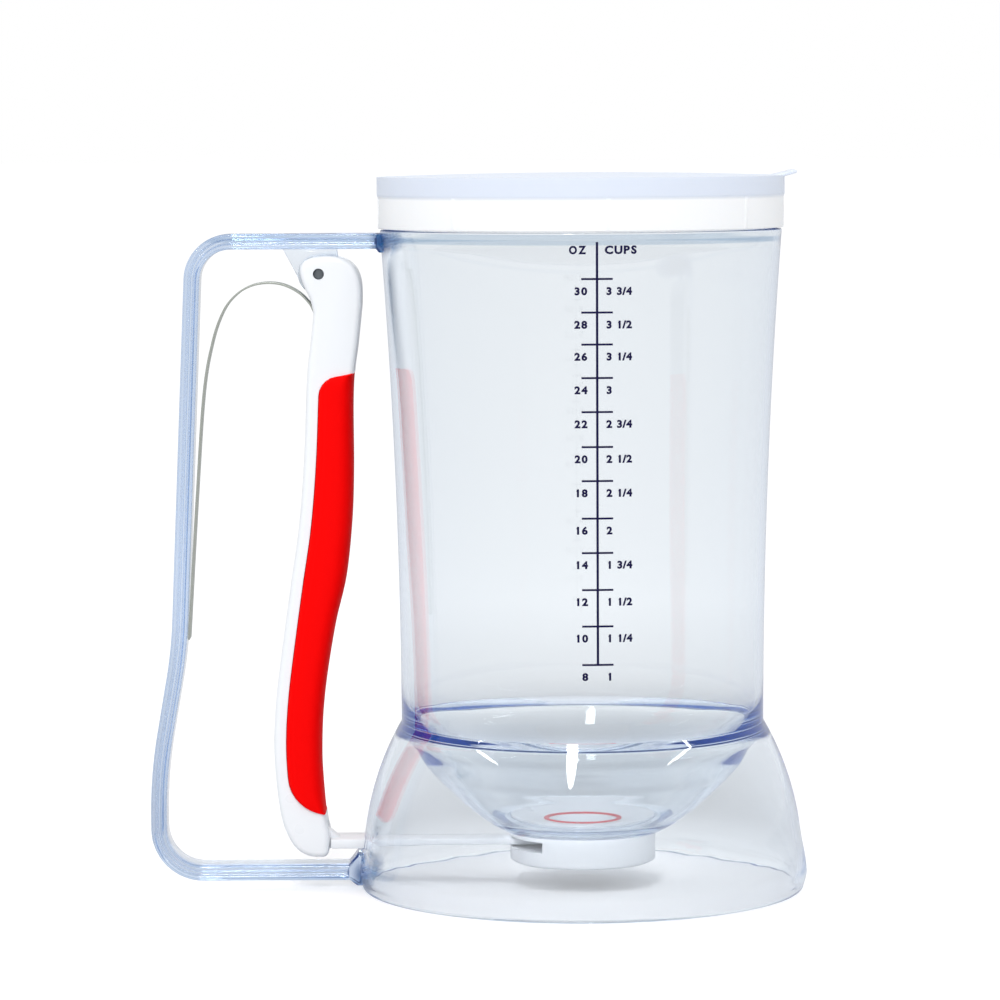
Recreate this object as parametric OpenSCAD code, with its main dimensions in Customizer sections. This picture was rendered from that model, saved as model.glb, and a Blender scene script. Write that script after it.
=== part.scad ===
// Hand-held pancake batter dispenser.
// A clear vessel stands on a flared skirt, with a funnel and a sliding valve under its floor.
// Squeezing the trigger in the handle pulls the shutter back and opens the outlet.
// Origin: vessel axis at table level. +Z is up and the handle points along -X.

/* [Vessel] */
// Outside radius of the container at the waist
waist_r = 46.8; // [42:0.1:55]
// Height of the waist above the table
waist_z = 43.5; // [42:0.5:56]
// How much wider the container is at its shoulder than at its waist
container_flare = 4.75; // [1:0.05:8]
// Height of the shoulder below the lid
shoulder_z = 170.2; // [150:0.1:200]
// Wall of the container, its neck and the funnel
wall = 1.8; // [1.2:0.1:2.4]
// How far the neck is set in from the shoulder
neck_step = 1.3; // [0.8:0.1:2]
// Height of the neck that the lid covers
neck_h = 11.7; // [8:0.1:15]

/* [Base] */
// Outside radius of the skirt at the table
foot_r = 57.15; // [54:0.05:64]
// Wall of the skirt
skirt_wall = 2; // [1.4:0.1:3]
// How far the rounded foot stands out
foot_bead = 0.9; // [0.2:0.1:2]
// Height of the middle of the rounded foot
foot_bead_z = 4; // [2:0.1:5]
// Width of the flat ring under the foot
foot_land = 3.2; // [2:0.1:5]
// Power of the skirt's curve: more keeps it wide for longer
skirt_power = 2.4; // [1.5:0.1:3]

/* [Funnel] */
// How far below the waist the bowl leaves the skirt, outside
funnel_drop = 2; // [1:0.5:6]
// Height of the bowl's inside edge above the waist
funnel_lip = 4; // [2:0.5:8]
// Height of the funnel's lower end
mouth_z = 14.8; // [13.6:0.1:17]
// Thickness of the collar round the funnel's mouth
collar_wall = 1.7; // [1.2:0.1:3]
// Height of the collar that grips the valve
collar_h = 3.8; // [3:0.1:5]

/* [Valve] */
// Outside radius of the valve drum
valve_r = 18.8; // [17:0.1:20]
// Height of the underside of the valve above the table
valve_z = 7; // [5:0.1:7.5]
// Height of the top of the valve's rim
valve_top_z = 19; // [18.6:0.1:20]
// Radius of the batter outlet
outlet_r = 7.5; // [5:0.1:8.5]
// Lip of the valve between the outlet and the soft seal round it
seal_step = 1.4; // [0.8:0.1:1.8]
// Wall of the soft seal
seal_wall = 1.2; // [1:0.1:1.6]
// How deep the seal sits in the dished floor
seal_root = 1.2; // [0.8:0.1:1.6]
// How far the seal stands up from the dished floor
seal_lip = 0.4; // [0.3:0.1:1]
// How deep the valve's top is dished
dish = 1.4; // [0.5:0.1:1.8]
// Width of the flat rim round the dish
dish_rim = 1.6; // [1:0.1:3]
// Section of the O-ring between valve and funnel
o_ring_d = 1.6; // [1.2:0.1:1.8]

/* [Shutter] */
// Height of the middle of the shutter
shutter_z = 12; // [11.8:0.1:12.4]
// Thickness of the shutter plate
plate_t = 2.2; // [1.6:0.1:2.4]
// Width of the shutter plate
plate_w = 30.4; // [22:0.2:31]
// How far the closed plate reaches past the far side of the outlet
plate_lap = 2; // [1:0.1:4]
// Corner radius of the plate's leading edge
plate_corner = 5; // [2:0.5:8]
// Thickness of the arm outside the skirt
arm_t = 2.4; // [1.8:0.1:3]
// Width of the arm outside the skirt
arm_w = 12; // [8:0.5:14]
// Thickness of the arm between skirt and valve
inner_arm_t = 1.6; // [1.2:0.1:2]
// Width of the arm between skirt and valve
inner_arm_w = 8; // [5:0.5:10]
// Travel of the shutter from closed to open
shutter_travel = 16.6; // [12:0.1:17]
// Thickness of the eye at the arm's outer end
eye_t = 5; // [4:0.1:6]
// Wall of the eye round the link pin's slot
eye_wall = 1.4; // [1:0.1:2]
// Size of the gusset on top of the arm in front of the eye
arm_gusset = 1.7; // [0.5:0.1:1.8]

/* [Lid] */
// Wall of the lid's side
lid_wall = 1.45; // [1:0.05:2]
// Thickness of the lid's top at its edge
lid_top_t = 1.5; // [1:0.1:2.5]
// Rise of the lid's top towards its middle
lid_dome = 0.9; // [0:0.1:3]
// How far the lid's upper band stands out
lid_band = 0.25; // [0.1:0.05:0.6]
// Height of the lid's upper band
lid_band_h = 5.1; // [3:0.1:8]
// Ribs round the lid
lid_ribs = 8; // [4:1:16]
// Width of a lid rib
lid_rib_w = 1.6; // [1:0.1:3]
// Turn of the first rib from the handle's opposite side
lid_rib_turn = 6.5; // [0:0.5:45]
// How far the lift tab stands out
tab_out = 2.7; // [1.5:0.1:6]
// Width of the lift tab
tab_w = 16; // [8:0.5:24]
// Thickness of the lift tab
tab_t = 1; // [0.8:0.1:1.6]
// How far the tab's tip rises above the lid's edge
tab_rise = 1.5; // [0.5:0.1:3]
// How far the tab reaches into the lid's top
tab_root = 3; // [2:0.5:6]

/* [Handle] */
// Thickness of the handle frame, seen from the side
frame_t = 4; // [3:0.1:6]
// Width of the handle frame
frame_w = 11; // [9:0.5:14]
// Depth of the groove along each side of the frame
frame_groove = 0.8; // [0.4:0.1:1.5]
// Width of the groove
frame_groove_w = 1.4; // [0.8:0.1:2]
// Height of the top bar's middle below the shoulder
top_bar_drop = 2.8; // [2.6:0.1:6]
// Height of the bottom bar's middle above the table
bottom_bar_z = 4.4; // [4:0.1:5]
// Reach of the top corner from the axis
top_reach = 99.3; // [98:0.1:112]
// Reach of the hand bar where it starts to sweep out
mid_reach = 103.9; // [102:0.1:116]
// Height where it starts to sweep out
mid_reach_z = 62.5; // [55:0.5:75]
// Reach of the heel of the handle
heel_reach = 109.6; // [107:0.1:125]
// Height of the top of the heel
heel_z = 30; // [26:0.5:40]
// Radius of the top corner, to the middle of the bar
top_corner_r = 10; // [6:0.5:14]
// Radius of the bottom corner, to the middle of the bar
heel_corner_r = 11.5; // [8:0.5:14]
// Length over which the bars thicken towards the vessel
flare_l = 2.5; // [1.5:0.5:10]
// How much the top bar thickens underneath at the vessel
top_flare_t = 1; // [0.4:0.1:2]
// How much the bottom bar thickens on top at the vessel
bottom_flare_t = 2.8; // [0.4:0.1:3]
// Radius of the two gentle bends in the hand bar
hand_bend_r = 120; // [60:5:130]

/* [Trigger] */
// Gap from the container's shoulder to the pivot
pivot_gap = 15.55; // [15:0.05:17]
// Drop of the pivot below the middle of the top bar
pivot_drop = 8.3; // [8:0.1:10]
// Radius of the pivot pin
pivot_r = 1.4; // [1:0.1:2]
// Radius of the lug round the pivot
lug_r = 5.5; // [4:0.1:5.8]
// How far behind the pivot the lug leaves the top bar
lug_root_back = 9.4; // [7:0.1:11]
// How far in front of the pivot the lug leaves the top bar
lug_root_front = 4.5; // [3:0.1:6]
// Room for the lug inside the trigger's head
lug_room = 1; // [0.6:0.1:1.5]
// Thickness of the lug
lug_t = 4; // [3:0.1:5]
// Depth of the trigger's head, front to back
head_depth = 15.6; // [15:0.1:17]
// Width of the trigger
trigger_w = 14; // [12:0.5:16]
// Depth of the white spine behind the grip
spine_t = 3.1; // [2:0.1:4]
// Width of the soft grip
grip_w = 16; // [14.5:0.5:20]
// Thickness of the grip in front of the trigger's core
grip_t = 3.2; // [2:0.1:4]
// Radius of the grip's lower rear corner
grip_low_r = 9; // [5:0.5:10]
// Radius of the grip's upper rear corner
grip_top_r = 4; // [2:0.5:6]
// Fall of the grip's top edge from front to back
grip_slant = 1.3; // [0.5:0.1:3]
// Width of the core inside the grip
core_w = 11; // [8:0.5:12]
// Radius of the link pin in the foot
link_r = 1.5; // [1:0.1:2]
// How far the link pin sits behind the pivot
link_back = 3.4; // [2.5:0.1:4.5]
// How far the pivot pin stops short of the trigger's sides
pin_inset = 1.2; // [0:0.1:2]
// Blind end of the link pin's hole in the near cheek
link_blind = 2; // [1:0.1:2.5]

/* [Spring] */
// Thickness of the leaf spring
leaf_t = 0.5; // [0.3:0.1:0.8]
// Width of the leaf spring
leaf_w = 7; // [5:0.5:9]
// How deep the spring's end sits in the trigger
leaf_seat = 1.6; // [1:0.1:2]

/* [Clearances] */
// Between pieces that move past each other
slide_gap = 0.3; // [0.2:0.05:0.5]
// Radial clearance of a pin in the hole it turns in
turn_gap = 0.05; // [0.02:0.01:0.1]
// Radial clearance of a pin in the hole that holds it
hold_gap = 0.02; // [0.01:0.01:0.03]
// Between the lid and the neck
lid_gap = 0.3; // [0.2:0.05:0.5]
// Radial clearance of the valve in the funnel's collar
valve_gap = 0.1; // [0.05:0.01:0.2]
// Between the leaf spring and what it bears on
leaf_gap = 0.1; // [0.05:0.01:0.2]

/* [Hidden] */

eps = 0.01;
cut = 1;
// Thickness at which the grip's ends finish
grip_end_t = 0.6;
// How far the grip's core runs back into the spine
core_root = 1.5;
// Between the link pin and the end of its blind hole
link_end_gap = 0.1;
// How far the gate plate's back end lies inside the drum
plate_root = 9;
// How far the trigger's foot reaches in front of the pivot
foot_front = 0.135 * head_depth;
round_fn = 96;
hole_fn = 48;
profile_steps = 14;
spline_steps = 4;
bend_steps = 6;
grip_sides = 28;
grip_rings = 34;

clear_col = [0.80, 0.87, 0.95, 0.55];
white_col = [0.95, 0.95, 0.96];
red_col = [0.93, 0.05, 0.08];
steel_col = [0.55, 0.56, 0.58];

// The inside of the waist, where container, funnel and skirt meet
seam_r = waist_r - wall;
shoulder_r = waist_r + container_flare;
neck_r = shoulder_r - neck_step;
neck_top_z = shoulder_z + neck_h;

// Funnel bowl: its ends outside, its inside edge and the collar round the valve
funnel_z = waist_z - funnel_drop;
lip_z = waist_z + funnel_lip;
mouth_r = valve_r + valve_gap;
collar_r = mouth_r + collar_wall;
collar_z = mouth_z + collar_h;

// Valve channel and plate
channel_low_z = shutter_z - plate_t / 2 - slide_gap;
channel_high_z = shutter_z + plate_t / 2 + slide_gap;
plate_front_x = outlet_r + plate_lap;
seal_in_r = outlet_r + seal_step;
seal_r = seal_in_r + seal_wall;
floor_z = valve_top_z - dish;

// Handle and trigger places
top_bar_z = shoulder_z - top_bar_drop;
pivot_x = -(shoulder_r + pivot_gap);
pivot_z = top_bar_z - pivot_drop;
link_x = pivot_x - link_back;
link_z = shutter_z;
reach_z = pivot_z - link_z;
squeeze = asin(shutter_travel / reach_z);
link_rise = reach_z * (1 - cos(squeeze)) + link_back * sin(squeeze);

// Eye on the shutter's arm: its upright slot leaves room for the link pin's rise
eye_mid_z = link_z + link_rise / 2;
eye_half_h = link_r + turn_gap + link_rise / 2 + eye_wall;

// Lid
lid_in_r = neck_r + lid_gap;
lid_r = lid_in_r + lid_wall;
lid_low_z = shoulder_z + lid_gap;
lid_ceiling_z = neck_top_z + lid_gap;
lid_edge_z = lid_ceiling_z + lid_top_t;

// ---- Curves ----

// Outside radius of the container at height z
function container_r(z) =
    waist_r + container_flare * pow((z - waist_z) / (shoulder_z - waist_z), 2);

// Outside radius of the skirt at height z, with the rounded foot
function skirt_r(z) =
    foot_r - (foot_r - waist_r) * pow(z / waist_z, skirt_power)
    + (z < 2 * foot_bead_z ? foot_bead * sin(90 * z / foot_bead_z) : 0);

// Point at share t of a curve from a to c that leans towards b
function bend_point(a, b, c, t) =
    (1 - t) * (1 - t) * a + 2 * t * (1 - t) * b + t * t * c;

// Smooth curve through the points in list p
function spline(p, n = spline_steps) = [
    for (i = [0 : len(p) - 2])
        let (a = p[max(i - 1, 0)], b = p[i], c = p[i + 1], d = p[min(i + 2, len(p) - 1)])
        for (k = [0 : n - 1 + (i == len(p) - 2 ? 1 : 0)])
            let (t = k / n)
            0.5 * ((2 * b) + (c - a) * t + (2 * a - 5 * b + 4 * c - d) * t * t
                   + (3 * b - a - 3 * c + d) * t * t * t)
];

// Points of the round corner of radius r at b, between the lines from a and to c
function corner(a, b, c, r, n = 8) =
    let (u = (a - b) / norm(a - b), v = (c - b) / norm(c - b),
         half = acos(u * v) / 2, run = r / tan(half),
         middle = b + (u + v) / norm(u + v) * r / sin(half),
         p = b + u * run - middle, q = b + v * run - middle,
         sweep = 180 - 2 * half, side = p[0] * q[1] - p[1] * q[0] > 0 ? 1 : -1)
    [for (k = [0 : n]) let (w = side * sweep * k / n)
        middle + [p[0] * cos(w) - p[1] * sin(w), p[0] * sin(w) + p[1] * cos(w)]];

// The open path p moved sideways by d
function beside(p, d) = [
    for (i = [0 : len(p) - 1])
        let (a = p[max(i - 1, 0)], c = p[min(i + 1, len(p) - 1)], u = (c - a) / norm(c - a))
        p[i] + d * [-u[1], u[0]]
];

// Outline of a strip from d0 to d1 beside path p
function strip(p, d0, d1) =
    let (a = beside(p, d0), b = beside(p, d1))
    concat(a, [for (i = [len(b) - 1 : -1 : 0]) b[i]]);

function backwards(p) = [for (i = [len(p) - 1 : -1 : 0]) p[i]];

// Extrude an outline in the X-Z plane to width w across Y
module across(w, outline) {
    rotate([90, 0, 0])
        linear_extrude(height = w, center = true)
            polygon(outline);
}

// Round hole or pin of radius r along Y, at x and z, reaching near and far of the middle
module side_pin(x, z, r, near, far) {
    translate([x, far, z])
        rotate([90, 0, 0])
            cylinder(r = r, h = near + far, $fn = hole_fn);
}

// ---- Clear moulding ----

// Outline of the container's wall, neck included
function container_outline() = concat(
    [for (i = [0 : profile_steps])
        let (z = waist_z + (shoulder_z - waist_z) * i / profile_steps) [container_r(z), z]],
    [[neck_r, shoulder_z], [neck_r, neck_top_z - 0.5], [neck_r - 0.5, neck_top_z],
     [neck_r - wall, neck_top_z]],
    [for (i = [profile_steps : -1 : 1])
        let (z = waist_z + (shoulder_z - neck_step - waist_z) * i / profile_steps)
        [container_r(z) - wall, z]],
    [[seam_r, lip_z], [seam_r, waist_z]]
);

module container() {
    color(clear_col)
        rotate_extrude($fn = round_fn)
            polygon(container_outline());
}

// Outside of the funnel bowl, from the skirt down to the collar: steep at first, then flatter.
// Each point is [share of the way out from the collar, share of the way up from the mouth].
function bowl_outside() = spline([for (p = [
    [1, 1], [0.984, 0.937], [0.943, 0.854], [0.848, 0.674], [0.721, 0.532], [0.59, 0.412],
    [0.344, 0.206], [0.148, 0.075], [0, 0]])
    [collar_r + p[0] * (seam_r - collar_r), mouth_z + p[1] * (funnel_z - mouth_z)]]);

// Inside of the bowl: a bend from the container's wall, then one wall above the outside
function bowl_inside() =
    let (wall_side = [for (p = beside(bowl_outside(), -wall)) if (p[1] > collar_z) p],
         start = 2 * spline_steps, low = wall_side[start], next = wall_side[start + 1],
         slope = (low[1] - next[1]) / (low[0] - next[0]),
         top = [seam_r, lip_z], knee = [seam_r, low[1] + slope * (seam_r - low[0])])
    concat([for (k = [0 : bend_steps]) bend_point(top, knee, low, k / bend_steps)],
           [for (i = [start + 1 : len(wall_side) - 1]) wall_side[i]]);

module funnel_bowl() {
    inside = bowl_inside();
    last = inside[len(inside) - 1];
    color(clear_col)
        rotate_extrude($fn = round_fn)
            polygon(concat(
                inside, [[last[0] - (last[1] - collar_z), collar_z], [mouth_r, collar_z],
                         [mouth_r, mouth_z]],
                backwards(bowl_outside())));
}

// Outline of the skirt's outside, from the waist down to the table
function skirt_outside() = concat(
    [for (i = [0 : profile_steps])
        let (z = waist_z - (waist_z - 2 * foot_bead_z) * i / profile_steps) [skirt_r(z), z]],
    [for (i = [7 : -1 : 1]) let (z = 2 * foot_bead_z * i / 8) [skirt_r(z), z]],
    [[foot_r - 0.5, 0]]
);

// Skirt's inside, from the table up to the funnel
function skirt_inside() = concat(
    [[foot_r - 0.5 - foot_land, 0], [skirt_r(foot_bead_z) - foot_bead - skirt_wall, foot_bead_z]],
    [for (i = [1 : profile_steps])
        let (z = foot_bead_z + (funnel_z - skirt_wall / 2 - foot_bead_z) * i / profile_steps)
        [skirt_r(z) - skirt_wall - (z < 2 * foot_bead_z ? foot_bead * sin(90 * z / foot_bead_z) : 0), z]],
    [[seam_r, funnel_z]]
);

module base_skirt() {
    slot_w = arm_w + 2 * slide_gap;
    slot_h = arm_t + 2 * slide_gap;
    color(clear_col)
        difference() {
            rotate_extrude($fn = round_fn)
                polygon(concat([[seam_r, waist_z]], skirt_outside(), skirt_inside()));
            // Slot for the shutter's arm
            translate([-foot_r - foot_bead - cut, -slot_w / 2, shutter_z - slot_h / 2])
                cube([foot_r / 2, slot_w, slot_h]);
        }
}

// Everything inside the vessel's outer surface, for trimming the handle's ends
module vessel_core() {
    rotate_extrude($fn = round_fn)
        polygon(concat([[0, waist_z]], skirt_outside(), [[0, 0]]));
    rotate_extrude($fn = round_fn)
        polygon(concat([[0, waist_z]],
                       [for (i = [0 : profile_steps])
                           let (z = waist_z + (shoulder_z - waist_z) * i / profile_steps)
                           [container_r(z), z]],
                       [[0, shoulder_z]]));
}

top_left = [-top_reach, top_bar_z];
sweep_top = [-mid_reach, mid_reach_z];
heel_top = [-heel_reach, heel_z];
heel = [-heel_reach, bottom_bar_z];
frame_start = [-neck_r + wall, top_bar_z];
frame_end = [-foot_r + skirt_wall, bottom_bar_z];

// Middle line of the handle frame, from the container round to the skirt
function frame_path() = concat(
    [frame_start],
    corner(frame_start, top_left, sweep_top, top_corner_r),
    corner(top_left, sweep_top, heel_top, hand_bend_r, 4),
    corner(sweep_top, heel_top, heel, hand_bend_r, 4),
    corner(heel_top, heel, frame_end, heel_corner_r),
    [frame_end]
);

// A bar's end, thickening by low and high towards the vessel surface at radius r
module bar_flare(r, z, low, high) {
    under = z - frame_t / 2;
    over = z + frame_t / 2;
    root = frame_t / 4;
    across(frame_w, [
        [-r - flare_l, under + root], [-r, under - low], [-r + wall, under - low],
        [-r + wall, over + high - eps], [-r, over + high - eps], [-r - flare_l, over - root]]);
}

module frame_bar() {
    path = frame_path();
    difference() {
        across(frame_w, strip(path, -frame_t / 2, frame_t / 2));
        for (side = [-1, 1])
            translate([0, side * (frame_w - frame_groove + cut) / 2, 0])
                across(frame_groove + cut, strip(path, -frame_groove_w / 2, frame_groove_w / 2));
    }
}

// Lug that hangs from the top bar and carries the trigger's pivot
module pivot_lug() {
    root_z = top_bar_z - frame_t / 2 + eps;
    across(lug_t, concat(
        [[pivot_x + lug_root_front, root_z], [pivot_x - lug_root_back, root_z]],
        [for (w = [190 : 10 : 360]) [pivot_x + lug_r * cos(w), pivot_z + lug_r * sin(w)]]));
}

module handle_frame() {
    color(clear_col)
        difference() {
            union() {
                frame_bar();
                bar_flare(container_r(top_bar_z), top_bar_z, top_flare_t, 0);
                bar_flare(skirt_r(bottom_bar_z), bottom_bar_z, bottom_flare_t / 2, bottom_flare_t);
                pivot_lug();
            }
            vessel_core();
            side_pin(pivot_x, pivot_z, pivot_r + turn_gap, lug_t, lug_t);
        }
}

// ---- Lid ----

module lid() {
    rib_out_r = lid_r + lid_band;
    dome_steps = 10;
    band_low_z = lid_edge_z - lid_band_h;
    rib_depth = lid_wall / 2 + lid_band - 3 * eps;
    rib_h = band_low_z - lid_low_z + lid_band;
    color(white_col) {
        difference() {
            union() {
                rotate_extrude($fn = round_fn)
                    polygon(concat(
                        [[0, lid_low_z], [lid_r, lid_low_z], [lid_r, band_low_z],
                         [rib_out_r, band_low_z + lid_band], [rib_out_r, lid_edge_z - 0.5],
                         [rib_out_r - 0.5, lid_edge_z]],
                        [for (i = [dome_steps - 1 : -1 : 0])
                            let (s = i / dome_steps)
                            [s * (rib_out_r - 0.5), lid_edge_z + lid_dome * (1 - s * s)]]));
                // Ribs on the lower side wall
                for (i = [0 : lid_ribs - 1])
                    rotate([0, 0, -90 + lid_rib_turn + 360 / lid_ribs * i])
                        translate([lid_in_r + lid_wall / 2, -lid_rib_w / 2, lid_low_z])
                            cube([rib_depth, lid_rib_w, rib_h]);
                // Lift tab
                across(tab_w, [
                    [lid_r - tab_root, lid_edge_z - tab_t], [lid_r - tab_root, lid_edge_z],
                    [rib_out_r + tab_out, lid_edge_z + tab_rise],
                    [rib_out_r + tab_out, lid_edge_z + tab_rise - tab_t]]);
            }
            // Hollow for the neck
            translate([0, 0, lid_low_z - cut])
                cylinder(r = lid_in_r, h = lid_ceiling_z - lid_low_z + cut, $fn = round_fn);
        }
    }
}

// ---- Trigger ----

// Height at share s of the way up from the link pin to the pivot
function up(s) = link_z + s * reach_z;

grip_low_z = up(0.053);
grip_top_z = up(0.827);

// Front edge of the trigger and grip, from the foot up to the head.
// Each point is [share of the head's depth in front of the pivot, share of the height].
function front_edge() = spline(concat([for (p = [
    [0.077, -0.02], [0.103, 0.014], [0.051, 0.044], [0, 0.11], [-0.019, 0.16], [0.006, 0.23],
    [0.083, 0.3], [0.231, 0.39], [0.41, 0.47], [0.513, 0.57], [0.545, 0.66], [0.545, 0.77],
    [0.571, 0.83], [0.628, 0.875]]) [pivot_x + p[0] * head_depth, up(p[1])]],
    [head_point([0.699, -0.519])]));

// Point of the head, in shares of its depth: [in front of the pivot, above the pivot]
function head_point(p) = [pivot_x, pivot_z] + head_depth * p;

// Head, from the front over the top to the spring slot
function head_edge() = spline([for (p = [
    [0.699, -0.519], [0.699, -0.224], [0.66, -0.019], [0.571, 0.135], [0.41, 0.244],
    [0.205, 0.288], [-0.013, 0.282], [-0.205, 0.231], [-0.301, 0.103], [-0.288, -0.064],
    [-0.237, -0.218], [-0.141, -0.423], [-0.09, -0.635]]) head_point(p)]);

// Back edge of the trigger, from the foot up to the head, in the same shares as the front
function back_edge() = spline(concat([for (p = [
    [0.058, -0.023], [-0.109, -0.023], [-0.308, -0.018], [-0.506, 0], [-0.679, 0.043],
    [-0.769, 0.11], [-0.801, 0.18], [-0.756, 0.26], [-0.654, 0.345], [-0.5, 0.46],
    [-0.359, 0.56], [-0.263, 0.68], [-0.205, 0.82], [-0.141, 0.88]])
    [pivot_x + p[0] * head_depth, up(p[1])]],
    [head_point([-0.09, -0.635])]));

function at_z(edge, z) = lookup(z, [for (p = edge) [p[1], p[0]]]);

// Line between the white spine and the grip at height z
function spine_x(z) = at_z(back_edge(), z) + spine_t;

// Rear outline of the grip from the side: round corners below and above, and a slanted top edge
function grip_rear(z) =
    let (front = at_z(front_edge(), z) - grip_end_t, slant_z = grip_top_z - grip_slant,
         over = min(max(z - (slant_z - grip_top_r), 0), grip_top_r),
         under = max(grip_low_z + grip_low_r - z, 0),
         rear = spine_x(z) + grip_top_r - sqrt(grip_top_r * grip_top_r - over * over)
                + grip_low_r - sqrt(grip_low_r * grip_low_r - under * under),
         slanted = rear + max(z - slant_z, 0) / grip_slant * max(front - rear, 0))
    min(front, slanted);

grip_levels = [for (i = [0 : grip_rings])
    let (w = 90 - 90 * cos(180 * i / grip_rings))
    grip_low_z + (grip_top_z - grip_low_z) * w / 180];

// The room that the grip takes out of the trigger, open to the front
function grip_room() = concat(
    [[pivot_x + 2 * head_depth, grip_low_z]],
    [for (z = grip_levels) [grip_rear(z), z]],
    [[pivot_x + 2 * head_depth, grip_top_z]]
);

function middle_of(p) = [for (i = [1 : len(p) - 2]) p[i]];

// Outline of the trigger from the side, grip included
function trigger_side() = concat(
    front_edge(), middle_of(head_edge()), backwards(back_edge()));

// The part of the trigger inside the grip
module grip_core() {
    levels = [for (i = [0 : grip_rings])
        grip_low_z + 2 * grip_t + (grip_top_z - grip_low_z - 3 * grip_t) * i / grip_rings];
    across(core_w, concat(
        [for (z = levels) [at_z(front_edge(), z) - grip_t, z]],
        backwards([for (z = levels) [spine_x(z) - core_root, z]])));
}

module trigger_lever() {
    tongue_w = lug_t + 2 * slide_gap;
    tongue_reach = lug_r + lug_room;
    tongue_back = lug_root_back + lug_room;
    fork_w = eye_t + 2 * slide_gap;
    fork_top = eye_mid_z + eye_half_h + cut;
    seat = leaf_path()[0];
    color(white_col)
        difference() {
            union() {
                difference() {
                    across(trigger_w, trigger_side());
                    across(trigger_w + 2 * cut, grip_room());
                }
                grip_core();
            }
            // Gap between the cheeks for the lug
            translate([pivot_x - tongue_back, -tongue_w / 2, pivot_z - tongue_reach])
                cube([tongue_back + tongue_reach, tongue_w, tongue_reach + pivot_drop]);
            // Gap in the foot for the arm's eye
            translate([link_x - trigger_w, -fork_w / 2, 0])
                cube([2 * trigger_w, fork_w, fork_top]);
            // Slot that holds the leaf spring's end
            translate([seat[0], 0, seat[1]])
                rotate([0, leaf_seat_turn, 0])
                    translate([-leaf_t / 2 - leaf_gap, -leaf_w / 2 - leaf_gap, -leaf_gap])
                        cube([leaf_t + 2 * leaf_gap, leaf_w + 2 * leaf_gap, 2 * leaf_seat]);
            side_pin(pivot_x, pivot_z, pivot_r + hold_gap, trigger_w / 2 + cut, trigger_w / 2 + cut);
            side_pin(link_x, link_z, link_r + hold_gap, trigger_w / 2 - link_blind, trigger_w / 2 + cut);
        }
}

// One closed ring of the grip at height z: square behind, rounded in front
function grip_ring(z) =
    let (xf = at_z(front_edge(), z), xr = grip_rear(z), xm = (xf + xr) / 2, hx = (xf - xr) / 2,
         near_end = min(z - grip_low_z, grip_top_z - z),
         hw = grip_w / 2 - 1 + sqrt(max(1 - pow(max(1 - near_end / 4, 0), 2), 0)))
    [for (k = [0 : grip_sides - 1])
        let (w = 360 * (k + 0.5) / grip_sides, c = cos(w), s = sin(w), p = c > 0 ? 2.8 : 9)
        [xm + hx * sign(c) * pow(abs(c), 2 / p), hw * sign(s) * pow(abs(s), 2 / p), z]];

module grip_form() {
    rings = [for (z = grip_levels) grip_ring(z)];
    n = grip_sides;
    last = len(rings) - 1;
    polyhedron(
        points = [for (ring = rings) for (p = ring) p],
        faces = concat(
            [[for (k = [0 : n - 1]) k]],
            [[for (k = [n - 1 : -1 : 0]) last * n + k]],
            [for (i = [0 : last - 1]) for (k = [0 : n - 1])
                let (m = (k + 1) % n)
                [i * n + k, (i + 1) * n + k, (i + 1) * n + m, i * n + m]]));
}

module trigger_grip() {
    color(red_col)
        difference() {
            grip_form();
            grip_core();
        }
}

module pivot_pin() {
    half = trigger_w / 2 - pin_inset;
    color(steel_col)
        side_pin(pivot_x, pivot_z, pivot_r, half, half);
}

module link_pin() {
    half = trigger_w / 2;
    color(steel_col)
        side_pin(link_x, link_z, link_r, half - link_blind - link_end_gap, half - pin_inset);
}

// ---- Leaf spring ----

leaf_seat_turn = -28;
leaf_lean = [sin(leaf_seat_turn), cos(leaf_seat_turn)];
leaf_out = head_point([-0.096, -0.609]);

// Inside face of the hand bar at height z
function bar_in_x(z) =
    -top_reach - (mid_reach - top_reach) * (top_bar_z - z) / (top_bar_z - mid_reach_z) + frame_t / 2;

// From the slot in the trigger over the arch and down the hand bar. The arch's points are
// shares of the gap between pivot and hand bar, the bar's are [share of the gap, share of height].
function leaf_path() = let (gap = pivot_x - bar_in_x(pivot_z)) spline(concat(
    [leaf_out - leaf_seat * leaf_lean, leaf_out, head_point([-0.167, -0.481])],
    [for (p = [[0.17, 0.16], [0.298, 0.088], [0.438, 0.065], [0.589, 0.092], [0.73, 0.177],
               [0.831, 0.317]]) [pivot_x - p[0] * gap, pivot_z - p[1] * gap]],
    [for (p = [[0.088, 0.88], [0.065, 0.79], [0.036, 0.6]]) [bar_in_x(up(p[1])) + p[0] * gap, up(p[1])]],
    [[bar_in_x(up(0.36)) + leaf_t / 2 + leaf_gap, up(0.36)]]
));

module leaf_spring() {
    color(steel_col)
        across(leaf_w, strip(leaf_path(), -leaf_t / 2, leaf_t / 2));
}

// ---- Shutter ----

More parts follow.
